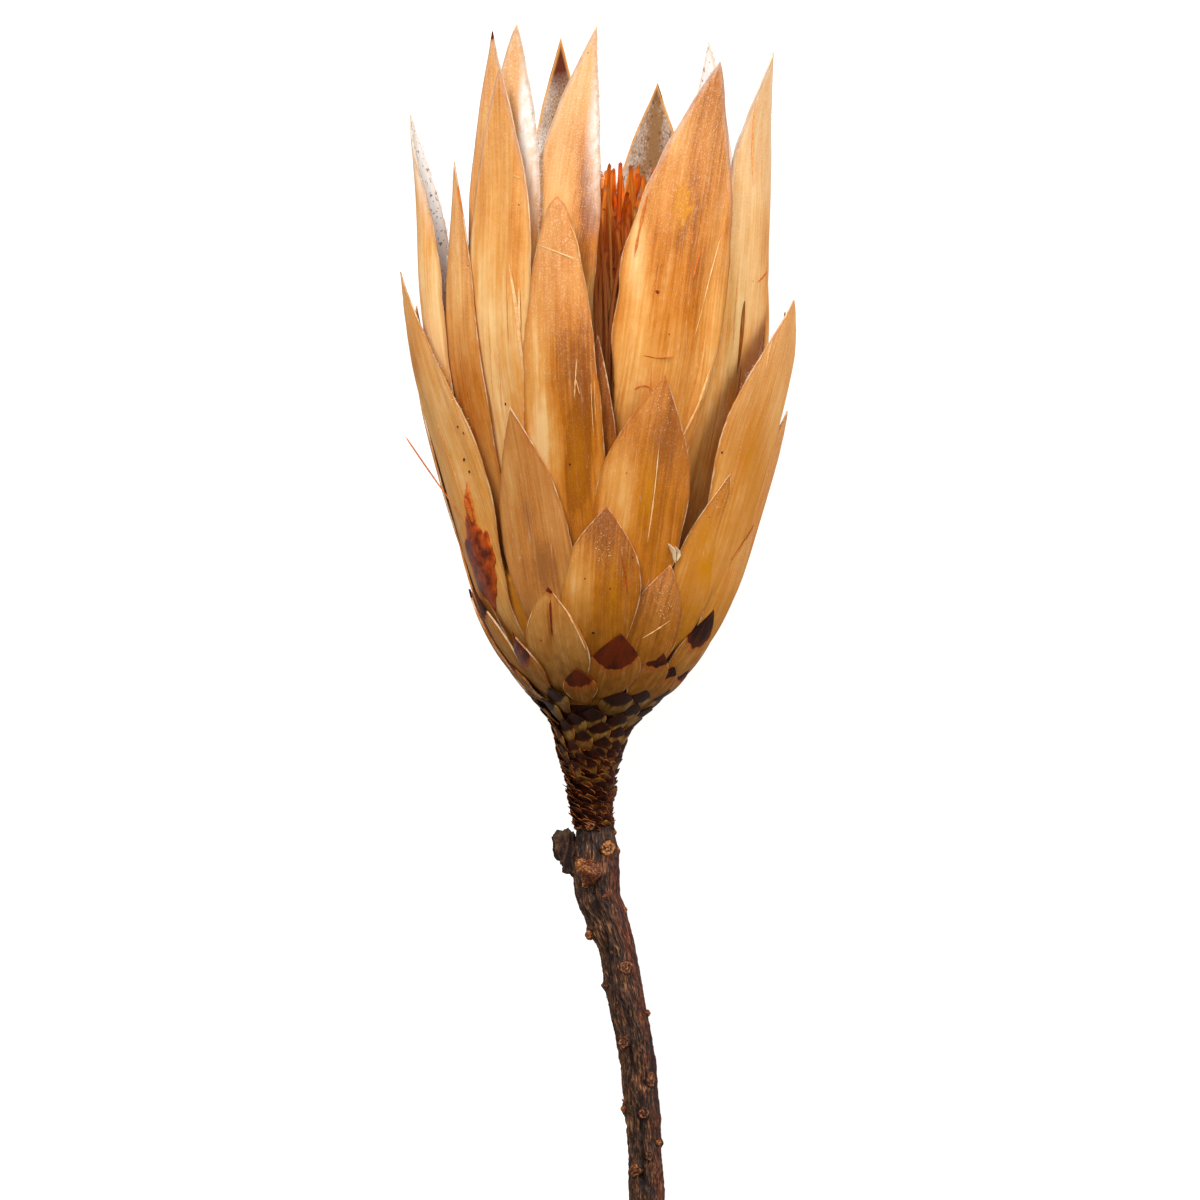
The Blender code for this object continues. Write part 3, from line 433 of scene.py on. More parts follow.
# Heights of the styles' roots and tips, and how far out the outermost stand at each
STYLE_ROOT, STYLE_TIP = (50.0, 74.0), (84.0, 107.0)
STYLE_GATHER, STYLE_SPREAD = 7.5, 15.5
GOLDEN_DEG = 137.508
SEED = 7


def linear(hex_colour):
    """sRGB hex as the linear colour that a shader takes."""
    parts = [int(hex_colour[at:at + 2], 16) / 255 for at in (0, 2, 4)]
    return (*(p / 12.92 if p <= 0.04045 else ((p + 0.055) / 1.055) ** 2.4 for p in parts), 1.0)


def colour(name, text, hex_colour):
    """A colour property for the panel."""
    return FloatVectorProperty(
        name=name, description=text, subtype="COLOR", size=4, min=0.0, max=1.0, default=linear(hex_colour)
    )


class SugarbushSizes(bpy.types.PropertyGroup):
    """Sizes a user would change."""

    blade: FloatProperty(
        name="Bract thickness", description="Thickness of a bract at its middle",
        default=0.5 * MM, min=0.2 * MM, max=0.9 * MM, unit="LENGTH",
    )
    fibre: FloatProperty(
        name="Fibre spacing", description="Spacing of the fibres along a bract",
        default=0.42 * MM, min=0.1 * MM, max=2 * MM, unit="LENGTH",
    )
    ridge: FloatProperty(
        name="Bark ridge spacing", description="Spacing of the bark's ridges round the stem",
        default=0.6 * MM, min=0.3 * MM, max=3 * MM, unit="LENGTH",
    )
    hair: FloatProperty(
        name="Wool length", description="Length of the woolly hairs on the bracts' margins",
        default=0.65 * MM, min=0.2 * MM, max=3 * MM, unit="LENGTH",
    )
    styles: IntProperty(
        name="Styles", description="How many dry styles stand in the goblet", default=460, min=50, max=900
    )


class SugarbushColours(bpy.types.PropertyGroup):
    """Colours a user would change."""

    straw: colour("Straw", "Palest tone of a dry bract", "F3C88A")
    tan: colour("Tan", "Common tone of a dry bract", "DE9C50")
    amber: colour("Amber", "Deep orange tone of a dry bract", "C07020")
    umber: colour("Umber", "Deepest tone of a dry bract", "8A430F")
    olive: colour("Olive", "Yellow-olive tint low on the cup", "CC8006")
    blush: colour("Blush", "Pink-brown bloom on the tips", "EABE98")
    margin: colour("Margin", "Pale thin margin", "F8E0BA")
    weathered: colour("Weathered", "Brown of the skin low on the cup", "5A3A14")
    burnt: colour("Burnt tip", "Dark red-brown of the burnt tips", "64260F")
    black: colour("Black tip", "Near black of the small tips", "26120C")
    wool: colour("Wool", "White wool on a bract's inside", "F3EEE8")
    grain: colour("Grain", "Brown skin under the wool", "8E6842")
    style: colour("Style", "Orange-red of the dry styles", "F2780A")
    bark: colour("Bark", "Grey-brown of the bark's ridges", "68432B")
    bark_red: colour("Red bark", "Red-brown of the smoother bark", "70351E")
    scar: colour("Scar", "Golden cork of a leaf scar", "BC7A3A")


def smooth_at(points, height):
    """The value at a height on a smooth curve through points of height and value."""
    last = len(points) - 1
    height = min(max(height, points[0][0]), points[last][0])
    at = max(i for i in range(last) if points[i][0] <= height)

    def slope(i):
        low, high = points[max(i - 1, 0)], points[min(i + 1, last)]
        return (high[1] - low[1]) / (high[0] - low[0])

    (h0, r0), (h1, r1) = points[at], points[at + 1]
    span = h1 - h0
    t = (height - h0) / span
    return (
        r0 * (1 + 2 * t) * (1 - t) ** 2 + slope(at) * span * t * (1 - t) ** 2
        + r1 * t * t * (3 - 2 * t) - slope(at + 1) * span * t * t * (1 - t)
    )


def step(low, high, value):
    """0 below low, 1 above high, smooth between."""
    t = min(max((value - low) / (high - low), 0.0), 1.0)
    return t * t * (3 - 2 * t)


def spot(turn, radius, height):
    """A place on the upright head, from a turn in radians."""
    return Vector((radius * math.sin(turn) + smooth_at(SWAY, height), -radius * math.cos(turn), height))


def lance(along, widest, point):
    """A bract's width at a share of its length, as a share of its greatest width."""
    if along < widest:
        return FOOT_SHARE + (1 - FOOT_SHARE) * (1 - math.cos(math.pi * along / widest)) / 2
    return max(0.0, math.cos(math.pi / 2 * (along - widest) / (1 - widest))) ** point


def rough(x, y, z):
    """Smooth noise from -1 to 1."""
    return noise.noise(Vector((x, y, z)))


RIB_SPACING, RIB_HEIGHT = 1.1, 0.09
WAVE_HEIGHT = 0.5
MARGIN_WAVER, MARGIN_NICKS = 0.05, 0.014
MARGIN_ROLL, MARGIN_WIDTH = 0.1, 0.6


def bract_relief(bract, side, share, edge, rise, seed):
    """How far a bract's face stands out beyond its smooth form, in millimetres."""
    out = RIB_HEIGHT * rough(side / RIB_SPACING, rise / 50, seed)
    out += WAVE_HEIGHT * rough(side / 8, rise / 18, seed + 4.7)
    out -= MARGIN_ROLL * math.exp(-edge / MARGIN_WIDTH)
    for foot, tip, wide, deep in bract.creases:
        at = (foot + (tip - foot) * share) * bract.width / 2
        out += deep * math.exp(-(((side - at) / wide) ** 2)) * step(0.02, 0.3, 1 - share)
    return out


def bract_point(bract, along, across, seed):
    """A place on a bract's outer face, with how far it is across, from its margin and up, in millimetres."""
    height = bract.foot + (bract.tip - bract.foot) * along
    turn = math.radians(bract.foot_turn + (bract.tip_turn - bract.foot_turn) * along ** bract.lean)
    facing = turn + math.radians(bract.twist) * along ** bract.roll
    half = bract.width / 2 * lance(along, bract.widest, bract.point)
    half *= 1 + MARGIN_WAVER * rough(height / 6, math.copysign(3, across), seed)
    half *= 1 + MARGIN_NICKS * rough(height / 0.9, math.copysign(3, across), seed + 2.2)
    side = across * half
    edge = half - abs(side)
    rise = height - bract.foot
    radius = smooth_at(OUTLINE, height) - bract.depth + bract.flare * along ** FLARE_POWER
    radius -= ROOT_SINK * (1 - along) ** ROOT_FADE
    curl = bract.curl * (1 - bract.furl * along)
    bend = side / curl
    out = SHINGLE * across * half / (bract.width / 2) - curl * (1 - math.cos(bend))
    out += bract_relief(bract, side, along, edge, rise, seed) * min(1.0, bract.width / 12)
    place = spot(turn, radius, height) + out * Vector((math.sin(facing), -math.cos(facing), 0))
    place += curl * math.sin(bend) * Vector((math.cos(facing), math.sin(facing), 0))
    return place, side, edge, rise


def seed_of(bract):
    """Where a bract's own patterns start."""
    return 11.3 + bract.tip * 0.73 + bract.tip_turn * 0.11


def on_bract(name, right, up, lift=0.0):
    """The place on a named bract that the viewer sees at right and up, lifted off its face."""
    bract = FACING[name]
    share = (up - bract.foot) / (bract.tip - bract.foot)
    low, high = -1.0, 1.0
    for _halving in range(18):
        middle = (low + high) / 2
        if bract_point(bract, share, middle, seed_of(bract))[0].x < right:
            low = middle
        else:
            high = middle
    place = bract_point(bract, share, low, seed_of(bract))[0]
    turn = math.atan2(place.x, -place.y)
    return place + lift * Vector((math.sin(turn), -math.cos(turn), 0))


# Columns of a bract's mesh crowd towards its margins, and its tone turns late to that of its tip
MARGIN_CROWD = 0.25
TONE_CLIMB = 1.5
# The blush starts at this share of the way up, and the foot of a burnt tip curves down at its middle
BLUSH_FROM = 0.45
BURN_CURVE = 0.18
PATCH_WAVER = 0.15
NOT_BURNT = -9.0
# Wool on the left of an outside that is woolly on its right, which it covers between these places
BARE_WOOL = 0.35
WOOL_ACROSS, WOOL_BELOW_TIP = (-0.5, 3.0), (3.0, 16.0)
# A bract's thickness at its margin, as a share, and how far in it is full
THIN_MARGIN, BODY_FROM = 0.45, 2.2


def layers(shape):
    """The four vectors at each point that the finishes read, all in millimetres or shares.

    place is across, along and a bract's own start, look is tone, olive and blush, skin is the distance
    from the margin, how far within the burnt tip and the wool, and upright is the place on the head."""
    return [
        shape.verts.layers.float_vector.get(name) or shape.verts.layers.float_vector.new(name)
        for name in ("place", "look", "skin", "upright")
    ]


def pour(shape, part):
    """Adds a small bmesh to a piece's bmesh and frees it. Small ones keep the mesh operators fast."""
    mesh = bpy.data.meshes.new("poured")
    part.to_mesh(mesh)
    part.free()
    shape.from_mesh(mesh)
    bpy.data.meshes.remove(mesh)


def blade(name, bract, cells, seed):
    """One bract as a fine sheet that faces outwards, with what its finish reads."""
    shape = bmesh.new()
    across, along = cells
    place_layer, look_layer, skin_layer, upright_layer = layers(shape)
    weight = shape.verts.layers.deform.verify()
    made = bmesh.ops.create_grid(shape, x_segments=across, y_segments=along, size=1)["verts"]
    stains_and_shade = [patch for patch in STAINS_AND_SHADE if patch[0] == name]
    tips = [vert for vert in made if vert.co.y > 1 - 0.5 / along]
    for vert in made:
        share = (vert.co.y + 1) / 2
        at = vert.co.x * (1 + MARGIN_CROWD - MARGIN_CROWD * vert.co.x ** 2)
        vert.co, side, edge, rise = bract_point(bract, share, at, seed)
        left = bract.tip - bract.foot - rise
        tone = bract.foot_tone + (bract.tone - bract.foot_tone) * share ** TONE_CLIMB
        olive = bract.olive * (1.2 - share)
        blush = bract.blush
        if blush > 0:
            blush *= step(BLUSH_FROM, 1.0, share + 0.1 * rough(side, rise / 4, seed))
        burn = bract.dark - left - BURN_CURVE * side * side if bract.dark else NOT_BURNT
        for _name, right, up, half_wide, half_high, soft, tone_more, olive_more in stains_and_shade:
            away = math.hypot((vert.co.x - right) / half_wide, (vert.co.z - up) / half_high)
            share_of = 1 - step(1 - soft, 1 + soft / 2, away + PATCH_WAVER * rough(side * 1.5, rise, seed))
            tone += tone_more * share_of
            olive += olive_more * share_of
        wool = bract.wool
        if wool > 1:
            wool = BARE_WOOL + (wool - BARE_WOOL) * step(*WOOL_ACROSS, side) * step(*WOOL_BELOW_TIP, left)
        vert[place_layer] = (side, rise, seed)
        vert[look_layer] = (tone, olive, blush)
        vert[skin_layer] = (edge, burn, wool)
        vert[upright_layer] = vert.co
        vert[weight][0] = THIN_MARGIN + (1 - THIN_MARGIN) * step(0, BODY_FROM, edge)
    bmesh.ops.remove_doubles(shape, verts=tips, dist=0.05)
    return shape


def turned(shape, profile, steps):
    """Spins a profile, given top to bottom, once round the axis and closes it."""
    chain = [shape.verts.new((radius, 0, height)) for radius, height in profile]
    edges = [shape.edges.new(pair) for pair in zip(chain, chain[1:])]
    bmesh.ops.spin(
        shape, geom=chain + edges, cent=(0, 0, 0), axis=(0, 0, 1), dvec=(0, 0, 0), angle=math.tau,
        steps=steps, use_merge=True,
    )
    bmesh.ops.remove_doubles(shape, verts=shape.verts, dist=0.001)
    bmesh.ops.recalc_face_normals(shape, faces=shape.faces)


def core(profile, steps, girth, seed, look, skin, sway=SWAY):
    """A spun core under the bracts or scales, which sways as the head does and looks the same all over.

    girth is the radius that its pattern is laid for."""
    shape = bmesh.new()
    turned(shape, profile, steps)
    place_layer, look_layer, skin_layer, upright_layer = layers(shape)
    for vert in shape.verts:
        vert[place_layer] = (math.atan2(vert.co.x, -vert.co.y) * girth, vert.co.z, seed)
        vert[look_layer] = look
        vert[skin_layer] = skin
        vert.co.x += smooth_at(sway, vert.co.z)
        vert[upright_layer] = vert.co
    return shape


# A rod's pattern is laid as if it were so long
ROD_LONG = 30


def rod(line, radius, sides, steps, wide, flat=1.0, look=(0.5, 0.0, 0.0)):
    """A closed rod along a line from 0 to 1, pointed where its radius is nothing."""
    shape = bmesh.new()
    place_layer, look_layer, skin_layer, upright_layer = layers(shape)
    made = bmesh.ops.create_grid(shape, x_segments=sides, y_segments=steps, size=1)
    seed = look[0] * 37
    for vert in made["verts"]:
        share, angle = (vert.co.y + 1) / 2, math.pi * vert.co.x
        here = line(share)
        up = (line(min(share + 0.01, 1.0)) - line(max(share - 0.01, 0.0))).normalized()
        broad = (wide - wide.dot(up) * up).normalized()
        deep = up.cross(broad)
        size = radius(share)
        vert.co = here + size * (math.cos(angle) * broad + flat * math.sin(angle) * deep)
        vert[place_layer] = (size * angle, share * ROD_LONG, seed)
        vert[look_layer] = (look[0], look[1], share)
        vert[skin_layer] = (size, look[2], 0.0)
        vert[upright_layer] = vert.co
    bmesh.ops.remove_doubles(shape, verts=made["verts"], dist=0.004)
    bmesh.ops.recalc_face_normals(shape, faces=shape.faces)
    return shape


def keep(shape, name, node, materials):
    """Lays a bmesh in millimetres down and makes it a piece of the part that stands for a node."""
    if not shape.faces:
        raise RuntimeError(f"{name} has no faces")
    bmesh.ops.transform(shape, matrix=LAID @ Matrix.Scale(MM, 4), verts=shape.verts)
    for vert in shape.verts:
        vert.co.z = max(vert.co.z, FLOOR_CLEAR * MM)
    mesh = bpy.data.meshes.new(name)
    shape.to_mesh(mesh)
    shape.free()
    for made in materials:
        mesh.materials.append(made)
    mesh.shade_smooth()
    made = bpy.data.objects.new(name, mesh)
    bpy.context.scene.collection.objects.link(made)
    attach(made, "root")
    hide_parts(node)
    return made


def thicken(made, thick):
    """Gives sheets their thickness towards the inside, with the second material there."""
    made.vertex_groups.new(name="body")
    solid = made.modifiers.new("thickness", "SOLIDIFY")
    solid.vertex_group = "body"
    solid.thickness = thick
    solid.offset = -1.0
    solid.use_even_offset = False
    solid.material_offset = 1


def add(tree, kind, inputs, settings=None, out=0):
    """Adds a node with its inputs linked or set, and gives one of its outputs."""
    made = tree.nodes.new(kind)
    for name, value in (settings or {}).items():
        if name == "stops":
            band = made.color_ramp.elements
            while len(band) < len(value):
                band.new(0.5)
            for element, (place, shade) in zip(band, value):
                element.position = place
                element.color = shade
        else:
            setattr(made, name, value)
    for name, value in inputs.items():
        if isinstance(value, bpy.types.NodeSocket):
            tree.links.new(value, made.inputs[name])
        else:
            made.inputs[name].default_value = value
    return made.outputs[out]


# Nodes for sums, mixes and ranges name several sockets alike, so theirs go by number. A range's are its
# value, the two ends that it is read between, and what it gives at each.
MATH, MIX, RAMP, LIMIT = "ShaderNodeMath", "ShaderNodeMix", "ShaderNodeValToRGB", "ShaderNodeMapRange"
NOISE, CELLS, VECTOR = "ShaderNodeTexNoise", "ShaderNodeTexVoronoi", "ShaderNodeVectorMath"
BUMP, ATTRIBUTE, AXES = "ShaderNodeBump", "ShaderNodeAttribute", "ShaderNodeSeparateXYZ"
PLUS, TIMES, SPREAD = {"operation": "ADD"}, {"operation": "MULTIPLY"}, {"operation": "MULTIPLY_ADD"}
SIZE_OF = {"operation": "ABSOLUTE"}
IN_COLOUR = {"data_type": "RGBA"}
MIX_A, MIX_B, MIX_OUT = 6, 7, 2
# Dry plant skin holds oil and resin, so that its weak shine is warm
WARM_SHINE = (1.0, 0.7, 0.45, 1.0)
# The shares by which light goes into dry leaf tissue, red furthest
LEAF_GLOW, STYLE_GLOW = (1.0, 0.45, 0.18), (1.0, 0.4, 0.15)


def start_material(name, even):
    """A new material with its tree and its Principled shader, with what is even all over it set."""
    made = bpy.data.materials.new(name)
    made.use_nodes = True
    shader = made.node_tree.nodes["Principled BSDF"]
    for socket, value in even.items():
        shader.inputs[socket].default_value = value
    return made, made.node_tree, shader


def link(tree, shader, outputs):
    """Links what varies over the surface to its shader's sockets."""
    for socket, output in outputs.items():
        tree.links.new(output, shader.inputs[socket])


def read_layers(tree):
    """The place on the piece, the six numbers of look and skin, and the height on the head."""
    place, look, skin, upright = (
        add(tree, ATTRIBUTE, {}, {"attribute_name": name}, "Vector")
        for name in ("place", "look", "skin", "upright")
    )
    numbers = [add(tree, AXES, {0: vector}, out=axis) for vector in (look, skin) for axis in range(3)]
    return place, numbers, add(tree, AXES, {0: upright}, out=2)


def grown(tree, place, spacing, detail):
    """A growth pattern: noise whose features have a size in millimetres each way along the piece."""
    scaled = add(tree, VECTOR, {0: place, 1: tuple(1 / size for size in spacing)}, TIMES)
    return add(tree, NOISE, {"Vector": scaled, "Scale": 1.0, "Detail": detail, "Roughness": 0.55})


def tinted(tree, base, tints):
    """A colour with tints laid over it in turn. Each is its share and its colour, and then, where
    something breaks it up, that, the two ends that it is read between and what is left at each."""
    for share, shade, *broken in tints:
        if broken:
            share = add(tree, MATH, {0: share, 1: add(tree, LIMIT, dict(enumerate(broken)))}, TIMES)
        base = add(tree, MIX, {0: share, MIX_A: base, MIX_B: shade}, IN_COLOUR, MIX_OUT)
    return base


def papery_bract():
    """Dry bract: thin leathery leaf tissue, dried to paper. The eye sees long fine fibres, a paler
    thin margin, a pink-brown granular bloom near the tip and a little light coming through."""
    made, tree, shader = start_material("dry_papery_bract", {
        "IOR": 1.45, "Specular IOR Level": 0.1, "Specular Tint": WARM_SHINE, "Subsurface Weight": 0.2,
        "Subsurface Radius": LEAF_GLOW, "Subsurface Scale": 1.0 * MM,
    })
    colours = bpy.context.scene.sugarbush_colours
    fibre = bpy.context.scene.sugarbush_sizes.fibre / MM
    place, (tone, olive, blush, edge, burn, wool), height = read_layers(tree)
    fibres = grown(tree, place, (fibre, 12, 1), 3)
    streaks = grown(tree, place, (1.9, 40, 1), 2)
    mottle = grown(tree, place, (4.0, 8, 1), 3)
    blotches = grown(tree, place, (1.1, 1.5, 1), 3)
    # The bloom's grains are about 0.1 mm, drawn at 0.2 mm so that they show
    grain = grown(tree, place, (0.2, 0.24, 1), 1)
    for pattern, strength in ((fibres, 0.7), (streaks, 0.4), (mottle, 0.5), (blotches, 0.2)):
        tone = add(tree, MATH, {0: pattern, 1: strength, 2: tone}, SPREAD)
        tone = add(tree, MATH, {0: tone, 1: -strength / 2}, PLUS)
    base = add(tree, RAMP, {0: tone}, {"stops": (
        (0.0, colours.straw), (0.38, colours.tan), (0.75, colours.amber), (1.0, colours.umber),
    )})
    dull = add(tree, LIMIT, {0: blush, 1: -1.0, 2: 0.0, 3: 0.85, 4: 0.0})
    pale = add(tree, LIMIT, {0: blush, 1: 0.0, 2: 0.7, 3: 0.06, 4: 0.55})
    # Wool creeps over the margins of the upper bracts and fades inwards
    frost = add(tree, LIMIT, {0: add(tree, MATH, {0: edge, 1: -0.33, 2: wool}, SPREAD)})
    frost = add(tree, MATH, {0: frost, 1: add(tree, LIMIT, {0: height, 1: 94.0, 2: 110.0})}, TIMES)
    thread = add(tree, MATH, {0: add(tree, MATH, {0: streaks, 1: -0.5}, PLUS)}, SIZE_OF)
    thread = add(tree, LIMIT, {0: thread, 1: 0.0, 2: 0.004, 3: 0.22, 4: 0.0})
    weathered = add(tree, LIMIT, {0: height, 1: 19.0, 2: 40.0, 3: 0.95, 4: 0.0})
    # The margin is worn to a pale line, with a painted brown shadow line inside it
    rim = add(tree, MATH, {0: blotches, 1: 0.6, 2: edge}, SPREAD)
    rim = add(tree, MATH, {0: rim, 1: -0.3}, PLUS)
    painted_shadow_line = add(tree, LIMIT, {0: rim, 1: 0.1, 2: 0.7, 3: 0.4, 4: 0.0})
    pale_line = add(tree, LIMIT, {0: rim, 1: 0.0, 2: 0.16, 3: 0.6, 4: 0.0})
    # The burnt tip has a ragged edge, a scorched one round it and darker patches in it
    within = add(tree, MATH, {0: blotches, 1: 1.6, 2: burn}, SPREAD)
    within = add(tree, MATH, {0: within, 1: -0.8}, PLUS)
    scorched = add(tree, LIMIT, {0: within, 1: -0.9, 2: 0.1, 3: 0.0, 4: 0.75})
    burnt = tinted(tree, colours.burnt, ((add(tree, LIMIT, {0: mottle, 1: 0.4, 2: 0.6}), colours.black),))
    dark = add(tree, LIMIT, {0: within, 1: 0.0, 2: 0.15})
    spread = add(tree, VECTOR, {0: place, 1: (1 / 5.5, 1 / 6.5, 1.0)}, TIMES)
    speck = add(tree, CELLS, {"Vector": spread, "Scale": 1.0})
    speck = add(tree, LIMIT, {0: speck, 1: 0.02, 2: 0.035, 3: 0.85, 4: 0.0})
    base = tinted(tree, base, (
        (olive, colours.olive, mottle, 0.3, 0.65, 0.35, 1.0),
        (dull, linear("B08050")),
        (blush, colours.blush, grain, 0.3, 0.7, 0.3, 0.75),
        (pale, colours.margin, grain, 0.58, 0.68, 0.0, 1.0),
        (frost, colours.wool, blotches, 0.3, 0.6, 0.4, 1.0),
        (thread, colours.margin),
        (weathered, colours.weathered, blotches, 0.3, 0.7, 0.6, 1.0),
        (painted_shadow_line, colours.umber),
        (pale_line, colours.margin, mottle, 0.42, 0.58, 0.0, 1.0),
        (scorched, linear("A24E1C")),
        (dark, burnt),
        (speck, colours.burnt, mottle, 0.5, 0.55, 0.0, 1.0),
    ))
    relief = add(tree, MATH, {0: grain, 1: 0.4, 2: fibres}, SPREAD)
    link(tree, shader, {
        "Base Color": base,
        "Normal": add(tree, BUMP, {"Height": relief, "Strength": 0.7, "Distance": 0.2 * MM}),
        "Roughness": add(tree, LIMIT, {0: fibres, 1: 0.2, 2: 0.8, 3: 0.48, 4: 0.68}),
    })
    return made


def woolly_inside():
    """Inner face of a bract: a brown skin under close white wool. The eye sees a soft white nap near
    the top that thins out to brown grains, and bare orange-brown skin deeper in."""
    made, tree, shader = start_material("woolly_bract_inside", {
        "Roughness": 0.85, "Specular IOR Level": 0.1, "Specular Tint": WARM_SHINE, "Sheen Weight": 0.06,
        "Sheen Roughness": 0.6,
    })
    colours = bpy.context.scene.sugarbush_colours
    place, (_tone, _olive, _blush, edge, burn, wool), height = read_layers(tree)
    nap = grown(tree, place, (0.22, 0.4, 1), 3)
    patches = grown(tree, place, (2.5, 6.0, 1), 3)
    dots = grown(tree, place, (0.5, 0.7, 1), 2)
    # Wool is thicker along the margin and low down, and the margin's line is tan where it's thin
    at_margin = add(tree, LIMIT, {0: edge, 1: 0.0, 2: 4.0, 3: 0.45, 4: 0.0})
    low_down = add(tree, LIMIT, {0: height, 1: 98.0, 2: 114.0, 3: 0.5, 4: 0.0})
    cover = add(tree, MATH, {0: patches, 1: 0.8, 2: wool}, SPREAD)
    for more in (nap, at_margin, low_down):
        cover = add(tree, MATH, {0: cover, 1: more}, PLUS)
    tip = add(tree, MATH, {0: patches, 1: 4.0, 2: burn}, SPREAD)
    tip = add(tree, MATH, {0: tip, 1: -2.0}, PLUS)
    line = add(tree, LIMIT, {0: edge, 1: 0.1, 2: 0.6, 3: 0.85, 4: 0.0})
    base = tinted(tree, colours.grain, (
        (add(tree, LIMIT, {0: cover, 1: 1.0, 2: 1.9, 3: 0.0, 4: 0.95}), colours.wool),
        (add(tree, LIMIT, {0: dots, 1: 0.6, 2: 0.67, 3: 0.0, 4: 0.8}), linear("6A4028")),
        (add(tree, LIMIT, {0: tip, 1: -2.0, 2: 2.5, 3: 0.0, 4: 0.99}), linear("56200F")),
        (
            add(tree, LIMIT, {0: height, 1: 74.0, 2: 98.0, 3: 1.0, 4: 0.0}),
            add(tree, RAMP, {0: nap}, {"stops": ((0.3, linear("8E4C1C")), (0.7, linear("D89450")))}),
        ),
        (line, colours.tan, wool, 0.6, 0.95, 1.0, 0.3),
    ))
    link(tree, shader, {
        "Base Color": base,
        "Normal": add(tree, BUMP, {"Height": nap, "Strength": 0.6, "Distance": 0.15 * MM}),
    })
    return made


def neck_scale():
    """Neck scale: hard, resinous and weathered. The eye sees an olive-brown body, a near black
    tip, and a painted orange glint along its thin ragged edges."""
    made, tree, shader = start_material("resinous_neck_scale", {
        "IOR": 1.48, "Specular IOR Level": 0.12, "Specular Tint": WARM_SHINE,
    })
    colours = bpy.context.scene.sugarbush_colours
    place, (tone, _olive, _blush, edge, burn, _wool), _height = read_layers(tree)
    fibres = grown(tree, place, (0.25, 2.5, 1), 2)
    mottle = grown(tree, place, (1.0, 1.2, 1), 3)
    value = add(tree, MATH, {0: mottle, 1: 0.8, 2: tone}, SPREAD)
    body = add(tree, RAMP, {0: add(tree, MATH, {0: value, 1: -0.4}, PLUS)}, {"stops": (
        (0.0, linear("AA8446")), (0.35, linear("76501F")), (0.65, linear("481C0E")), (1.0, linear("220C07")),
    )})
    lines = add(tree, LIMIT, {0: fibres, 1: 0.5, 2: 0.75, 3: 0.0, 4: 0.5})
    # Painted highlight: an orange glint along the scales' thin edges
    painted_edge_glint = add(tree, LIMIT, {0: edge, 1: 0.02, 2: 0.18, 3: 0.75, 4: 0.0})
    glow = add(tree, LIMIT, {0: mottle, 1: 0.45, 2: 0.7})
    within = add(tree, MATH, {0: mottle, 1: 0.7, 2: burn}, SPREAD)
    within = add(tree, MATH, {0: within, 1: -0.35}, PLUS)
    base = tinted(tree, body, (
        (lines, linear("3A1D12")),
        (painted_edge_glint, linear("B5632A"), mottle, 0.45, 0.6, 0.0, 1.0),
        (
            add(tree, LIMIT, {0: within, 1: -0.15, 2: 0.2}),
            tinted(tree, colours.black, ((glow, linear("3E150B")),)),
        ),
    ))
    relief = add(tree, MATH, {0: mottle, 1: fibres}, PLUS)
    link(tree, shader, {
        "Base Color": base,
        "Normal": add(tree, BUMP, {"Height": relief, "Strength": 0.6, "Distance": 0.12 * MM}),
        "Roughness": add(tree, LIMIT, {0: mottle, 1: 0.3, 2: 0.7, 3: 0.34, 4: 0.6}),
    })
    return made


def dry_style():
    """Dry style: a thin woody flattened strand. The eye sees rust orange with lit orange edges
    and dark red between the strands."""
    made, tree, shader = start_material("dry_orange_style", {
        "Roughness": 0.5, "Specular IOR Level": 0.15, "Subsurface Weight": 0.15,
        "Subsurface Radius": STYLE_GLOW, "Subsurface Scale": 0.8 * MM,
    })
    colours = bpy.context.scene.sugarbush_colours
    place, (tone, _none, share, *_skin), height = read_layers(tree)
    fibres = grown(tree, place, (0.25, 5.0, 1), 2)
    value = add(tree, MATH, {0: fibres, 1: 0.6, 2: tone}, SPREAD)
    base = add(tree, RAMP, {0: add(tree, MATH, {0: value, 1: -0.3}, PLUS)}, {"stops": (
        (0.0, linear("A83C06")), (0.25, linear("DE5E08")), (0.55, colours.style), (0.9, linear("F8AC50")),
    )})
    # They fade to tan low down, partly their own paler colour and partly painted light in the goblet's shade,
    # and their tips are dark
    base = tinted(tree, base, (
        (add(tree, LIMIT, {0: height, 1: 82.0, 2: 100.0, 3: 0.6, 4: 0.0}), linear("F0AC68")),
        (add(tree, LIMIT, {0: share, 1: 0.82, 2: 0.9, 3: 0.0, 4: 0.6}), linear("7A2A14")),
    ))
    link(tree, shader, {
        "Base Color": base,
        "Normal": add(tree, BUMP, {"Height": fibres, "Strength": 0.4, "Distance": 0.08 * MM}),
    })
    return made


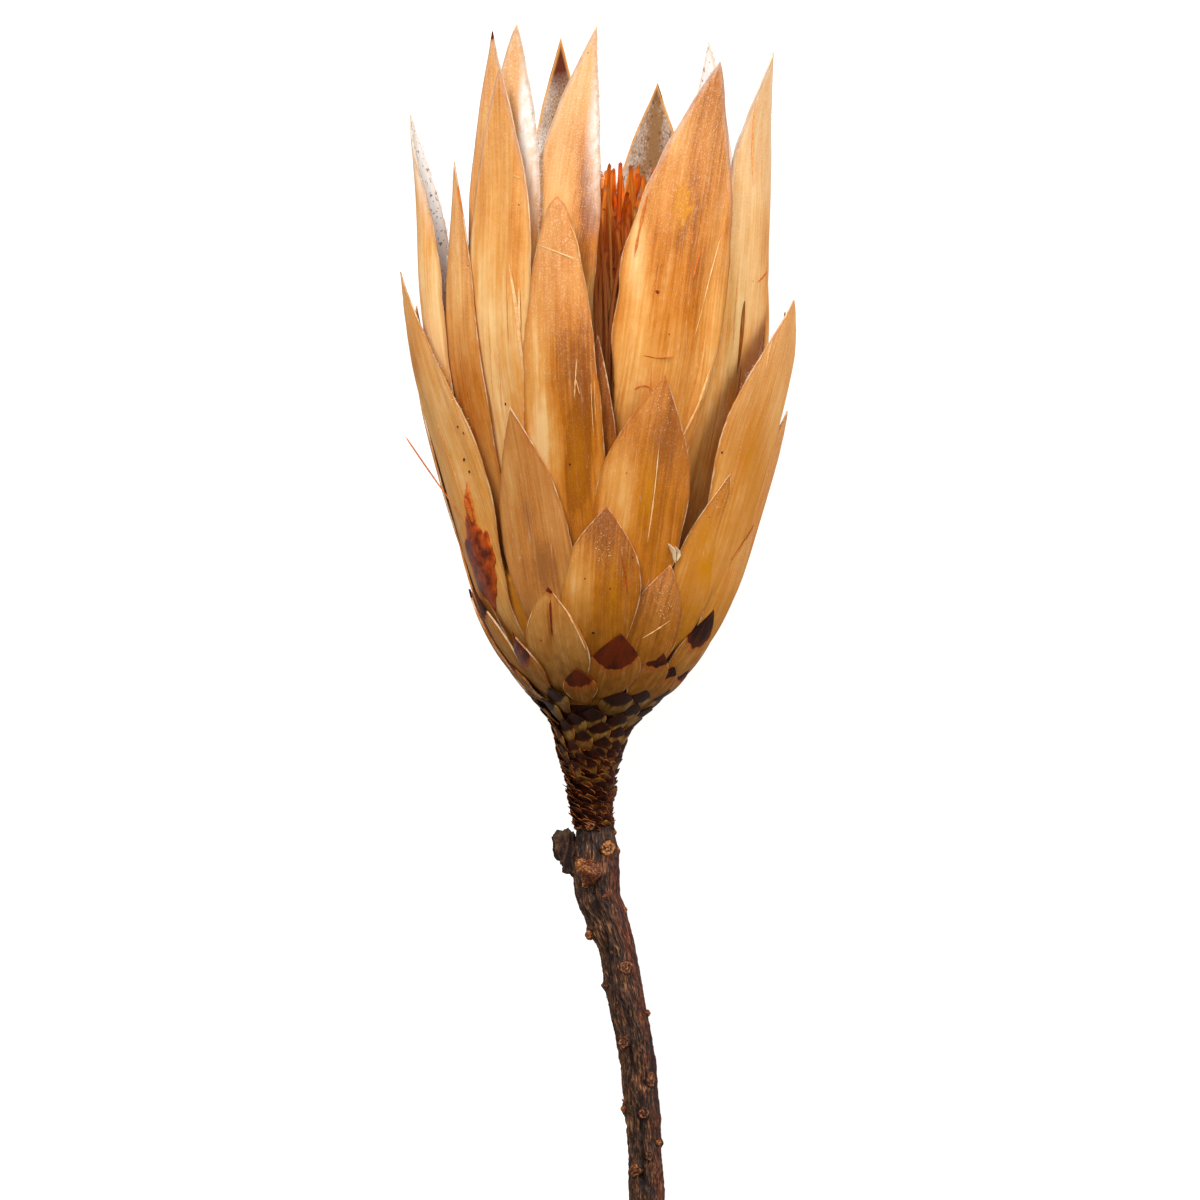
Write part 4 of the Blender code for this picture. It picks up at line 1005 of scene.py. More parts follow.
def weathered_bark():
    """Bark of a woody twig: thin cork over wood, weathered. The eye sees dark cracks between
    grey-brown strings, and smoother red-brown bark down the right side."""
    made, tree, shader = start_material("weathered_bark", {"Specular IOR Level": 0.25})
    colours = bpy.context.scene.sugarbush_colours
    place, (red, ridge, cut, _edge, dark, _wool), _height = read_layers(tree)
    strings = grown(tree, place, (0.17, 0.17, 2.0), 4)
    mottle = grown(tree, place, (1.3, 1.3, 3.5), 4)
    flakes = grown(tree, place, (0.4, 0.4, 0.8), 3)
    patches = grown(tree, place, (0.7, 0.7, 1.8), 3)
    # Cracks are darker and crests paler with the ridge layer and the strings: partly the bark's own dark
    # fissures, partly painted shade in the cracks
    crest = add(tree, MATH, {0: strings, 1: 1.7, 2: add(tree, MATH, {0: ridge, 1: 0.8}, TIMES)}, SPREAD)
    crest = add(tree, MATH, {0: mottle, 1: 0.9, 2: crest}, SPREAD)
    crest = add(tree, MATH, {0: crest, 1: -1.35}, PLUS)
    crust = add(tree, RAMP, {0: crest}, {"stops": (
        (0.0, linear("1C0E08")), (0.3, linear("3A2213")), (0.62, colours.bark), (1.0, linear("B08454")),
    )})
    warm = add(tree, RAMP, {0: crest}, {"stops": (
        (0.0, linear("2E110A")), (0.35, linear("542313")), (0.66, colours.bark_red), (1.0, linear("A8663A")),
    )})
    side = add(tree, MATH, {0: mottle, 1: 2.4, 2: red}, SPREAD)
    base = tinted(tree, crust, (
        (add(tree, LIMIT, {0: side, 1: 1.3, 2: 2.3, 3: 0.0, 4: 0.9}), warm),
        (add(tree, LIMIT, {0: flakes, 1: 0.62, 2: 0.7, 3: 0.0, 4: 0.45}), linear("9C6E48")),
        # Painted shade where the skin layer says: under the neck, in the grooves and in the stub's cracks;
        # the stub's own dark bark comes in the same way
        (dark, linear("1A0E0A")),
        (add(tree, LIMIT, {0: patches, 1: 0.36, 2: 0.47, 3: 0.75, 4: 0.0}), linear("1C0F09")),
        (cut, add(tree, RAMP, {0: flakes}, {"stops": ((0.3, linear("8E6A44")), (0.7, linear("CDA878")))})),
    ))
    relief = add(tree, MATH, {0: flakes, 1: 0.5, 2: strings}, SPREAD)
    link(tree, shader, {
        "Base Color": base,
        "Normal": add(tree, BUMP, {"Height": relief, "Strength": 0.8, "Distance": 0.25 * MM}),
        "Roughness": add(tree, LIMIT, {0: mottle, 1: 0.3, 2: 0.7, 3: 0.45, 4: 0.8}),
    })
    return made


def golden_cork():
    """Leaf scar and bud: corky tissue where a leaf fell. The eye sees a golden rim with darker dots,
    a brown hollow, and bark brown where it meets the stem."""
    made, tree, shader = start_material("golden_cork", {"Roughness": 0.5, "Specular IOR Level": 0.25})
    colours = bpy.context.scene.sugarbush_colours
    place, (tone, *_rest), _height = read_layers(tree)
    spots = grown(tree, place, (0.3, 0.3, 0.3), 3)
    value = add(tree, MATH, {0: spots, 1: 1.4, 2: tone}, SPREAD)
    base = add(tree, RAMP, {0: add(tree, MATH, {0: value, 1: -0.7}, PLUS)}, {"stops": (
        (0.0, linear("1E0D06")), (0.3, linear("5C2810")), (0.62, colours.scar), (1.0, linear("DCA060")),
    )})
    link(tree, shader, {
        "Base Color": base,
        "Normal": add(tree, BUMP, {"Height": spots, "Strength": 0.7, "Distance": 0.15 * MM}),
    })
    return made


def scuffs_and_resin():
    """Scuffs, cracks and dried resin on the bracts. The eye sees cream where the skin has split,
    orange where it is scraped, and dark red to black where resin has dried."""
    made, tree, shader = start_material("scuffs_and_dried_resin", {
        "IOR": 1.52, "Specular IOR Level": 0.18, "Specular Tint": WARM_SHINE,
    })
    colours = bpy.context.scene.sugarbush_colours
    place, (tone, *_rest), _height = read_layers(tree)
    spots = grown(tree, place, (0.5, 0.9, 1.0), 3)
    value = add(tree, MATH, {0: spots, 1: 0.35, 2: tone}, SPREAD)
    base = add(tree, RAMP, {0: add(tree, MATH, {0: value, 1: -0.175}, PLUS)}, {"stops": (
        (0.0, colours.black), (0.2, linear("5A1C0C")), (0.4, linear("B44A12")),
        (0.6, linear("E08A3C")), (0.8, linear("EFC88E")), (1.0, colours.margin),
    )})
    link(tree, shader, {
        "Base Color": base,
        "Normal": add(tree, BUMP, {"Height": spots, "Strength": 0.6, "Distance": 0.15 * MM}),
        "Roughness": add(tree, LIMIT, {0: tone, 1: 0.0, 2: 0.7, 3: 0.3, 4: 0.6}),
    })
    return made


def white_wool():
    """Hairs of white wool, clean and dry. The eye sees a bright soft fringe with cream roots."""
    made, tree, shader = start_material("white_wool_hairs", {
        "Roughness": 0.7, "Sheen Weight": 0.3, "Subsurface Weight": 0.3, "Subsurface Scale": 0.3 * MM,
    })
    colours = bpy.context.scene.sugarbush_colours
    _place, (_tone, _none, share, *_skin), _height = read_layers(tree)
    base = add(tree, RAMP, {0: share}, {"stops": ((0.0, colours.margin), (0.4, colours.wool))})
    link(tree, shader, {"Base Color": base})
    return made


def sheets(name, groups, materials, thick):
    """One piece of many bracts: groups are of named bracts and their cells across and along."""
    shape = bmesh.new()
    layers(shape)
    for bracts, cells in groups:
        for title, bract in bracts.items():
            pour(shape, blade(title, bract, cells, seed_of(bract)))
    thicken(keep(shape, name, "bracts", materials), thick)


def back_scales():
    """The broad scales round the back, row by row."""
    found = {}
    for tip, first, last, many, width in SCALE_ROWS:
        for i in range(many):
            turn = first + (last - first) * i / (many - 1)
            found[f"scale {tip} {i}"] = Bract(
                SCALE_FOOT, turn, tip, turn, width, 0.5, -0.3, 0, 10, 0.65, 0.5, 0.45, 0.6, 2.0
            )
    return found


# The table is white to the camera, and dimmer as a light so that the gaps between the bracts stay dark
TABLE_RADIUS, TABLE_DIMMED, TABLE_GLOW, TABLE_WHITE = 4.0, 0.32, 0.2, 0.95
STUDIO_LIGHT = 0.24
# Each softbox: where, power in watts, side in metres. All face the head.
SOFTBOXES = {
    "key": ((-0.42, 0.72, 0.88), 13.0, 0.35),
    "fill": ((0.9, 0.3, 0.55), 8.0, 0.6),
    "top": ((-0.1, 0.1, 1.2), 4.5, 0.6),
}
LIT_AT = Vector((0, 0, 0.03))


class SUGARBUSH_OT_stage(bpy.types.Operator):
    """Build the pale floor, the soft light and the camera"""

    bl_idname = "sugarbush.stage"
    bl_label = "Stage"

    def execute(self, context):
        scene = context.scene
        scene.view_settings.view_transform = "Standard"
        shape = bmesh.new()
        bmesh.ops.create_circle(shape, cap_ends=True, segments=96, radius=TABLE_RADIUS)
        mesh = bpy.data.meshes.new("floor")
        shape.to_mesh(mesh)
        shape.free()
        floor = bpy.data.objects.new("floor", mesh)
        scene.collection.objects.link(floor)
        table = linear("F6F5F3")
        made, tree, shader = start_material("pale_lit_table", {
            "Base Color": tuple(TABLE_DIMMED * part for part in table[:3]) + (1.0,), "Roughness": 0.9,
            "Specular IOR Level": 0.0, "Emission Color": table,
        })
        seen = add(tree, "ShaderNodeLightPath", {}, out="Is Camera Ray")
        link(tree, shader, {"Emission Strength": add(tree, LIMIT, {0: seen, 3: TABLE_GLOW, 4: TABLE_WHITE})})
        mesh.materials.append(made)
        world = bpy.data.worlds.new("studio")
        world.use_nodes = True
        world.node_tree.nodes["Background"].inputs["Color"].default_value = (1.0, 0.99, 0.98, 1.0)
        world.node_tree.nodes["Background"].inputs["Strength"].default_value = STUDIO_LIGHT
        scene.world = world
        for name, (where, power, side) in SOFTBOXES.items():
            lamp = bpy.data.lights.new(name, "AREA")
            lamp.energy = power
            lamp.size = side
            made = bpy.data.objects.new(name, lamp)
            made.location = where
            made.rotation_euler = (LIT_AT - Vector(where)).to_track_quat("-Z", "Y").to_euler()
            made.visible_camera = False
            scene.collection.objects.link(made)
        lens = bpy.data.cameras.new("camera")
        lens.sensor_width = SENSOR
        lens.lens = SENSOR * VIEW_DISTANCE / VIEW_SPAN
        lens.clip_end = 20.0
        camera = bpy.data.objects.new("camera", lens)
        across, up = VIEW_MIDDLE
        camera.matrix_world = (
            LAID @ Matrix.Translation(Vector((across, -VIEW_DISTANCE, up)) * MM)
            @ Matrix.Rotation(math.pi / 2, 4, "X")
        )
        scene.collection.objects.link(camera)
        scene.camera = camera
        return {"FINISHED"}


class SUGARBUSH_OT_bracts(bpy.types.Operator):
    """Build the papery bracts, from the tall ones round the opening to the low ones on the cup"""

    bl_idname = "sugarbush.bracts"
    bl_label = "Bracts"

    def execute(self, context):
        thick = context.scene.sugarbush_sizes.blade
        finishes = [papery_bract(), woolly_inside()]
        for name, groups in (
            ("tall_bracts_front", ((TALL_FRONT, (24, 72)),)),
            ("tall_bracts_back", ((TALL_BACK, (14, 40)),)),
            ("middle_bracts", ((MIDDLE_FRONT, (26, 60)), (MIDDLE_BACK, (16, 40)))),
            ("low_bracts", ((LOW_FRONT, (26, 52)), (LOW_BACK, (16, 34)))),
        ):
            sheets(name, groups, finishes, thick)
        return {"FINISHED"}


class SUGARBUSH_OT_cup(bpy.types.Operator):
    """Build the cup that the bracts grow from, and its broad scales"""

    bl_idname = "sugarbush.cup"
    bl_label = "Cup and scales"

    def execute(self, context):
        finishes = [papery_bract(), woolly_inside()]
        steps = [CUP_FOOT + (CUP_TOP - CUP_FOOT) * i / 40 for i in range(40, -1, -1)]
        profile = [(0, CUP_TOP + 0.4)]
        profile += [(smooth_at(OUTLINE, h) - CUP_SKIN - 3.0 * step(40, 43, h), h) for h in steps]
        cup = core(profile + [(0, CUP_FOOT)], 120, 18, 5.0, (0.7, 0.7, 0.0), (9.0, NOT_BURNT, 0.5))
        keep(cup, "cup", "bracts", finishes)
        scales = (SCALES_FRONT, (18, 26)), (back_scales(), (12, 18))
        sheets("cup_scales", scales, finishes, SCALE_THICK * MM)
        return {"FINISHED"}


class SUGARBUSH_OT_neck(bpy.types.Operator):
    """Build the scaly neck under the cup"""

    bl_idname = "sugarbush.neck"
    bl_label = "Neck"

    def execute(self, context):
        finish = neck_scale()
        steps = [NECK_FOOT + (NECK_TOP - NECK_FOOT) * i / 30 for i in range(30, -1, -1)]
        profile = [(0, NECK_CAP), (smooth_at(OUTLINE, NECK_CAP) - 1.9, NECK_CAP)]
        profile += [(smooth_at(OUTLINE, h) - 1.0, h) for h in steps] + [(0, NECK_FOOT)]
        middle = core(profile, 72, 5, 2.0, (1.0, 0.0, 0.0), (5.0, NOT_BURNT, 0.0))
        keep(middle, "neck_core", "neck_scales", [finish])

        chance = random.Random(SEED)
        tips = []
        for right, up, width in SMALL_FRONT + SMALL_LATER:
            lean = (right - smooth_at(SWAY, up)) / (smooth_at(OUTLINE, up) + 0.3)
            tips.append((math.degrees(math.asin(max(-0.99, min(0.99, lean)))), up, width))
        for row, (up, many) in enumerate(SMALL_BACK_ROWS):
            for i in range(many):
                turn = BACK_FROM + BACK_SPAN * (i + 0.5 * (row % 2)) / many
                width = 0.95 * math.tau * smooth_at(OUTLINE, up) * BACK_SPAN / 360 / many
                tips.append((turn, up + chance.uniform(-0.4, 0.4), width))
        shape = bmesh.new()
        layers(shape)
        for turn, up, width in sorted(tips, key=lambda tip: -tip[1]):
            scale = Bract(
                max(up - SMALL_LONG, 0.4), turn, up, turn, width * 1.05, 0.66, 0.3, 0.6,
                max(width * 0.9, 2.5), tone=0.12 + 0.5 * step(19, 12, up), foot_tone=0.45,
                dark=0.75 + 0.3 * width, point=1.05,
            )
            pour(shape, blade("small", scale, (10, 18), up * 3.1 + turn))
        made = keep(shape, "neck_small_scales", "neck_scales", [finish, finish])
        thicken(made, SMALL_THICK * MM)

        shape = bmesh.new()
        layers(shape)
        for i in range(RAGGED):
            share = (i + 0.5) / RAGGED
            up = RAGGED_FOOT + (RAGGED_TOP - RAGGED_FOOT) * share + chance.uniform(-0.25, 0.25)
            turn = GOLDEN_DEG * i + chance.uniform(-6, 6)
            scale = Bract(
                max(up - chance.uniform(1.6, 2.2), -0.6), turn, up, turn + chance.uniform(-10, 10),
                chance.uniform(2.2, 3.6), chance.uniform(0.45, 0.7), 0.4, chance.uniform(0.4, 1.0), 3.5,
                tone=chance.uniform(0.3, 1.0), foot_tone=chance.uniform(0.6, 1.0),
                dark=chance.choice((0.0, 0.4, 0.7)), point=1.2, twist=chance.uniform(-25, 25),
            )
            pour(shape, blade("ragged", scale, (8, 7), i * 1.7))
        for foot_right, foot_up, tip_right, tip_up in SPIKES:
            foot, tip = Vector((foot_right, -0.6, foot_up)), Vector((tip_right, -0.9, tip_up))
            inside = foot.lerp(tip, -0.9)
            pour(shape, rod(
                lambda t: inside.lerp(tip, t), lambda t: SPIKE_RADIUS * min(1.0, 8 * t) * (1 - t), 6, 6,
                Vector((0, 1, 0.3)), 0.6, (1.0, 0.0, 0.0),
            ))
        made = keep(shape, "neck_ragged_scales", "neck_scales", [finish, finish])
        thicken(made, RAGGED_THICK * MM)
        return {"FINISHED"}


def stem_point(height):
    """How far right and front the stem's middle is at a height, and its half width."""
    rising = STEM[::-1]
    return tuple(smooth_at([(point[1], point[i]) for point in rising], height) for i in (0, 2, 3))


def on_stem(right, up):
    """The turn round the stem at which the viewer sees a place."""
    middle, _front, half = stem_point(up)
    return math.asin(max(-0.985, min(0.985, (right - middle) / half)))


def bark_ridge(turn, height, spacing):
    """Height of the bark's strings, from 0 in a crack to 1 on a crest."""
    about = turn + BARK_WANDER * rough(1.3 * math.cos(turn), 1.3 * math.sin(turn), height / 3)
    count = 4.6 / spacing
    strings = abs(rough(count * math.cos(about), count * math.sin(about), height / STRING_LONG))
    return 1 - min(1.0, CRACK_SHARPNESS * strings)


def bark_place(turn, height, out):
    """A place at a turn and height, so far out from the stem's plain surface."""
    right, front, half = stem_point(height)
    return Vector((right + (half + out) * math.sin(turn), -front - (half + out) * math.cos(turn), height))


def lump(shape, middle, sizes, turn, tone, roughness, fineness):
    """Adds a rough lump, with its own depth along a turn round the stem."""
    place_layer, look_layer, skin_layer, upright_layer = layers(shape)
    made = bmesh.ops.create_icosphere(shape, subdivisions=4 if max(sizes) > 1.5 else 3, radius=1)["verts"]
    about = Matrix.Rotation(turn, 3, "Z")
    for vert in made:
        ball = vert.co.copy()
        grown_out = 1 + roughness * rough(*(ball * fineness + middle))
        grown_out += roughness / 2 * rough(*(ball * fineness * 3))
        shaped = Vector((ball.x * sizes[0], ball.y * sizes[2], ball.z * sizes[1]))
        vert.co = middle + about @ shaped * grown_out
        vert[place_layer] = vert.co
        vert[look_layer] = (tone + 0.6 * (grown_out - 1), 0.4 + 2 * (grown_out - 1), 0.0)
        vert[skin_layer] = (1.0, 0.0, 0.0)
        vert[upright_layer] = vert.co


def side_branch():
    """The stub of the cut side branch, flattened, with a ragged blunt end."""
    ways = [[(i, point[axis]) for i, point in enumerate(STUB)] for axis in range(4)]
    last = len(STUB) - 1

    def line(t):
        right, up, front = (smooth_at(way, t * last) for way in ways[:3])
        return Vector((right, -front, up))

    def radius(t):
        return smooth_at(ways[3], t * last) * min(1.0, math.sqrt(14 * (1 - t)), 12 * t)

    shape = rod(line, radius, 40, 60, Vector((1, 0, 0.3)), 0.8)
    _place_layer, look_layer, skin_layer, upright_layer = layers(shape)
    for vert in shape.verts:
        ridge = 1 - min(1.0, CRACK_SHARPNESS * abs(rough(vert.co.x * 1.6, vert.co.y * 1.6, vert.co.z / 3)))
        end = step(0.84, 0.95, vert[look_layer][2])
        middle = line(vert[look_layer][2])
        out = 1 + 0.2 * (ridge - 0.5) + 0.18 * rough(*(vert.co * 0.8))
        vert.co = middle + (vert.co - middle) * out
        vert.co.z += end * 0.9 * rough(vert.co.x * 2, vert.co.y * 2, 7.0)
        vert[look_layer] = (0.3, ridge, 0.1 * end)
        # Painted shade in the stub's cracks; its body and blunt end are its own dark bark
        vert[skin_layer] = (5.0, 0.35 + 0.45 * end + 0.35 * step(0.3, 0.0, ridge), 0.0)
        vert[upright_layer] = vert.co
    return shape


class SUGARBUSH_OT_stem(bpy.types.Operator):
    """Build the ridged bark of the stem and the stub of its cut side branch"""

    bl_idname = "sugarbush.stem"
    bl_label = "Stem"

    def execute(self, context):
        spacing = context.scene.sugarbush_sizes.ridge / MM
        finish = weathered_bark()
        shape = bmesh.new()
        profile = [(0, STEM_TOP)]
        profile += [(1, STEM_TOP + (STEM_FOOT - STEM_TOP) * i / BARK_ALONG) for i in range(BARK_ALONG + 1)]
        profile += [(share, STEM_FOOT) for share in (0.9, 0.5, 0.15, 0)]
        turned(shape, profile, BARK_ABOUT)
        place_layer, look_layer, skin_layer, upright_layer = layers(shape)
        knobs = [(height, math.radians(turn), out, radius) for height, turn, out, radius in KNOBS]
        for vert in shape.verts:
            height = vert.co.z
            within = math.hypot(vert.co.x, vert.co.y)
            turn = math.atan2(vert.co.x, -vert.co.y)
            ridge = bark_ridge(turn, height, spacing)
            red = step(-0.1, 1.2, turn) * (1 - step(2.2, 2.9, turn)) * step(2, -6, height)
            # Painted shade at the top of the stem, under the neck's scales
            dark = 0.6 * step(-3.5, 0, height)
            fine = bark_ridge(turn, height * 2.1, spacing * 0.55)
            out = (STRING_DEEP * (ridge - 0.6) + FINE_DEEP * (fine - 0.6)) * (1 - 0.45 * red)
            out += WAVE_DEEP * rough(math.cos(turn) * 1.1, math.sin(turn) * 1.1, height / 6)
            out += BUMP_DEEP * rough(math.cos(turn) * 4, math.sin(turn) * 4, height / 1.2)
            half = stem_point(height)[2]
            for up, at, proud, size in knobs:
                swing = (turn - at + math.pi) % math.tau - math.pi
                away = math.hypot(swing * half, height - up) / (size * 1.2)
                if away < SWELL_REACH:
                    out += (0.5 * proud + 0.2) * math.exp(-away * away * 1.4)
            for right0, up0, right1, up1, wide, deep in GROOVES:
                share = (height - up0) / (up1 - up0)
                if 0 < share < 1 and abs(turn) < 1.5:
                    place = bark_place(turn, height, 0)
                    away = (place.x - right0 - (right1 - right0) * share) / wide
                    cut = math.exp(-away * away) * min(1.0, 6 * share, 6 * (1 - share))
                    out -= deep * cut
                    # Painted shade in the grooves
                    dark = max(dark, 0.85 * cut)
            vert[place_layer] = (3 * math.sin(turn), -3 * math.cos(turn), height)
            vert[look_layer] = (red, 0.5 * (ridge + fine), 1 - step(0.86, 0.95, within))
            vert[skin_layer] = (5.0, dark, 0.0)
            middle = bark_place(turn, height, out)
            centre = bark_place(turn, height, -half)
            vert.co = centre.lerp(middle, within)
            vert[upright_layer] = vert.co
        keep(shape, "stem_bark", "stem", [finish])

        shape = bmesh.new()
        layers(shape)
        pour(shape, side_branch())
        right, up, front = NUB[0]
        lump(shape, Vector((right, -front, up)), NUB[1], 0.0, 0.2, 0.28, 1.3)
        keep(shape, "side_stub", "stem", [finish])
        return {"FINISHED"}


class SUGARBUSH_OT_scars(bpy.types.Operator):
    """Build the golden leaf scars, the buds and the thorns on the stem"""

    bl_idname = "sugarbush.scars"
    bl_label = "Leaf scars, buds and thorns"

    def execute(self, context):
        cork = golden_cork()
        shape = bmesh.new()
        layers(shape)
        scars = [(on_stem(right, up), up, *rest) for right, up, *rest in SCARS]
        scars += [(math.radians(turn), up, size, size, 0.34) for turn, up, size in BACK_SCARS]
        for turn, up, wide, high, cork_tone in scars:
            disc = bmesh.new()
            turned(disc, SCAR_RIM, 28)
            place_layer, look_layer, _skin_layer, upright_layer = layers(disc)
            stand = Matrix.Rotation(turn, 4, "Z") @ Matrix.Rotation(math.pi / 2, 4, "X")
            for vert in disc.verts:
                share = math.hypot(vert.co.x, vert.co.y)
                ragged = 1.1 * (1 + 0.3 * rough(vert.co.x * 1.3, vert.co.y * 1.3, up * 3.0))
                bumpy = 0.3 * rough(vert.co.x * 2.6, vert.co.y * 2.6, up)
                pits = math.exp(-(((share - 0.5) / 0.16) ** 2)) * step(-0.2, 0.3, rough(*(vert.co * 4.0)))
                tone = cork_tone - 0.3 * pits - 0.6 * step(0.9, 1.15, share)
                across, along, out = vert.co
                local = Vector((across * wide * ragged, along * high * ragged, out * 0.8 + bumpy))
                vert.co = bark_place(turn, up, 0.1) + stand @ local
                vert[place_layer] = vert.co
                vert[look_layer] = (tone + 0.5 * bumpy, 0.0, 0.0)
                vert[upright_layer] = vert.co
            pour(shape, disc)
        keep(shape, "leaf_scars", "stem", [cork])

        shape = bmesh.new()
        for right, up, proud, radius, tone in BUDS:
            turn = on_stem(right, up)
            sizes = (radius, radius, radius * 0.9)
            lump(shape, bark_place(turn, up, proud - 0.3), sizes, turn, tone, 0.2, 1.6)
        for foot_right, foot_up, tip_right, tip_up, radius in THORNS:
            turn = on_stem(foot_right, foot_up)
            foot = bark_place(turn, foot_up, -0.3)
            tip = Vector((tip_right, foot.y - 0.2, tip_up))
            pour(shape, rod(
                lambda t: foot.lerp(tip, t), lambda t: radius * min(1.0, 8 * t) * (1 - t) ** 0.7, 8, 8,
                Vector((0, 1, 0.2)), 0.9, (0.3, 0.0, 0.0),
            ))
        keep(shape, "buds_and_thorns", "stem", [cork])
        return {"FINISHED"}


class SUGARBUSH_OT_florets(bpy.types.Operator):
    """Build the bundle of dry styles inside the goblet"""

    bl_idname = "sugarbush.florets"
    bl_label = "Florets"

    def execute(self, context):
        finish = dry_style()
        middle = core(FLORET_CORE, 40, 8, 1.0, (0.1, 0.0, 0.0), (0.0, 0.0, 0.0), STRAIGHT)
        keep(middle, "floret_core", "florets", [finish])
        shape = bmesh.new()
        layers(shape)
        chance = random.Random(SEED)
        many = context.scene.sugarbush_sizes.styles
        for i in range(many):
            share = (i + 0.5) / many
            turn = math.radians(GOLDEN_DEG * i)
            out = math.sqrt(share)
            root = STYLE_ROOT[1] + (STYLE_ROOT[0] - STYLE_ROOT[1]) * share
            start = spot(turn, STYLE_GATHER * out, root)
            end = spot(
                turn + chance.uniform(-0.35, 0.35), STYLE_SPREAD * out * chance.uniform(0.85, 1.05),
                chance.uniform(*STYLE_TIP),
            )
            bow = Vector((chance.uniform(-1.8, 1.8), chance.uniform(-1.8, 1.8), 0))
            thick = chance.uniform(0.26, 0.46)
            wide = Vector((1, chance.uniform(-0.7, 0.7), 0)).normalized()

            def line(t):
                # Its steps are close together near the tip, so that the tip is blunt
                along = 1 - (1 - t) ** 2
                return start.lerp(end, along) + bow * math.sin(math.pi * along) * (0.6 + 0.8 * along)

            pour(shape, rod(
                line, lambda t: thick * min(1.0, 9 * t, 12 * (1 - t)) * (0.75 + 0.35 * math.sin(math.pi * t)),
                5, 12, wide, 0.3, (chance.uniform(0.15, 0.9), 0.0, 0.0),
            ))
        keep(shape, "styles", "florets", [finish])
        return {"FINISHED"}


def dot(centre, radius, tone):
    """A small irregular flattened ball."""
    shape = bmesh.new()
    place_layer, look_layer, _skin_layer, upright_layer = layers(shape)
    bmesh.ops.create_icosphere(shape, subdivisions=2 if radius > 0.12 else 1, radius=radius)
    for vert in shape.verts:
        swell = 1 + 0.6 * rough(*(vert.co * 5 + centre))
        vert.co = centre + swell * Vector((vert.co.x, vert.co.y * 0.5, vert.co.z))
        vert[place_layer] = vert.co
        vert[look_layer] = (tone, 0.0, 0.0)
        vert[upright_layer] = vert.co
    return shape


def strand_line(name, proud, places):
    """A smooth line over a bract through places right and up, as a function of 0 to 1."""
    points = [on_bract(name, right, up, proud) for right, up in places]
    ways = [[(i, point[axis]) for i, point in enumerate(points)] for axis in range(3)]
    return lambda t: Vector([smooth_at(way, t * (len(points) - 1)) for way in ways])


class SUGARBUSH_OT_marks(bpy.types.Operator):
    """Build the scuffs, cracks, slivers, specks, resin grains and resin patches on the bracts"""

    bl_idname = "sugarbush.marks"
    bl_label = "Scuffs and resin"

    def execute(self, context):
        finish = scuffs_and_resin()
        chance = random.Random(SEED + 1)
        shape = bmesh.new()
        layers(shape)
        for name, half, proud, tone, *places in STRANDS:
            line = strand_line(name, proud, places)
            pour(shape, rod(
                line, lambda t: half * min(1.0, 6 * t, 6 * (1 - t)) * (1 + 0.7 * rough(t * 9, half * 90, 1)),
                6, 24, Vector((1, 0, 0)), 0.35, (tone, 0.0, 0.0),
            ))
        keep(shape, "scuffs_and_cracks", "bracts", [finish])

        shape = bmesh.new()
        layers(shape)
        for name, half, proud, tone, *places in SLIVERS:
            line = strand_line(name, proud, places)

            def half_at(t):
                return half * max(0.0, math.sin(math.pi * t)) ** 0.7 * (1 + 0.3 * rough(t * 7, half * 90, 2))

            pour(shape, rod(line, half_at, 8, 30, Vector((1, -0.2, 0)), 0.16, (tone, 0.0, 0.0)))
        ways = [[(i, point[axis]) for i, point in enumerate(FIBRE)] for axis in (0, 2, 1)]
        pour(shape, rod(
            lambda t: Vector([smooth_at(way, t * (len(FIBRE) - 1)) for way in ways]),
            lambda t: FIBRE_RADIUS * min(1.0, 12 * t) * (0.5 + 0.5 * t) * math.sqrt(1 - t), 6, 40,
            Vector((1, 0, 0)), 1.0, (0.48, 0.0, 0.0),
        ))
        keep(shape, "torn_slivers", "bracts", [finish])

        shape = bmesh.new()
        layers(shape)
        dots = list(SPECKS)
        for name, right, up, half_wide, half_high, many in GRAINS:
            for _grain in range(many):
                away, around = math.sqrt(chance.random()), chance.uniform(0, math.tau)
                across, along = half_wide * away * math.cos(around), half_high * away * math.sin(around)
                place = (right + across, up + along)
                dots.append((name, *place, GRAIN_RADIUS * chance.uniform(0.6, 1.2), chance.uniform(0.6, 0.9)))
        for name, right, up, radius, tone in dots:
            pour(shape, dot(on_bract(name, right, up), radius, tone))
        keep(shape, "specks_and_grains", "bracts", [finish])

        shape = bmesh.new()
        place_layer, look_layer, _skin_layer, upright_layer = layers(shape)
        for name, right, up, half_wide, half_high, proud, lean, tone in RESIN:
            made = bmesh.ops.create_icosphere(shape, subdivisions=4, radius=1)["verts"]
            tilt = math.radians(lean)
            for vert in made:
                ball = vert.co.copy()
                ragged = 1 + 0.25 * rough(ball.x * 2.2, ball.z * 2.2, up)
                across, high = ball.x * half_wide * ragged, ball.z * half_high * ragged
                place = (
                    right + across * math.cos(tilt) + high * math.sin(tilt),
                    up + high * math.cos(tilt) - across * math.sin(tilt),
                )
                swell = proud * -ball.y * (1 + 0.5 * rough(place[0] * 1.1, place[1] * 1.1, 3.0))
                vert.co = on_bract(name, *place, swell)
                vert[place_layer] = vert.co
                dark = 0.14 * step(-0.2, 0.5, rough(place[0] * 0.9, place[1] * 0.6, 9.0))
                edge_share = step(0.6, 0.98, math.hypot(ball.x, ball.z))
                vert[look_layer] = (tone - dark + 0.12 * edge_share, 0.0, 0.0)
                vert[upright_layer] = vert.co
        bmesh.ops.recalc_face_normals(shape, faces=shape.faces)
        keep(shape, "resin_patches", "bracts", [finish])
        return {"FINISHED"}


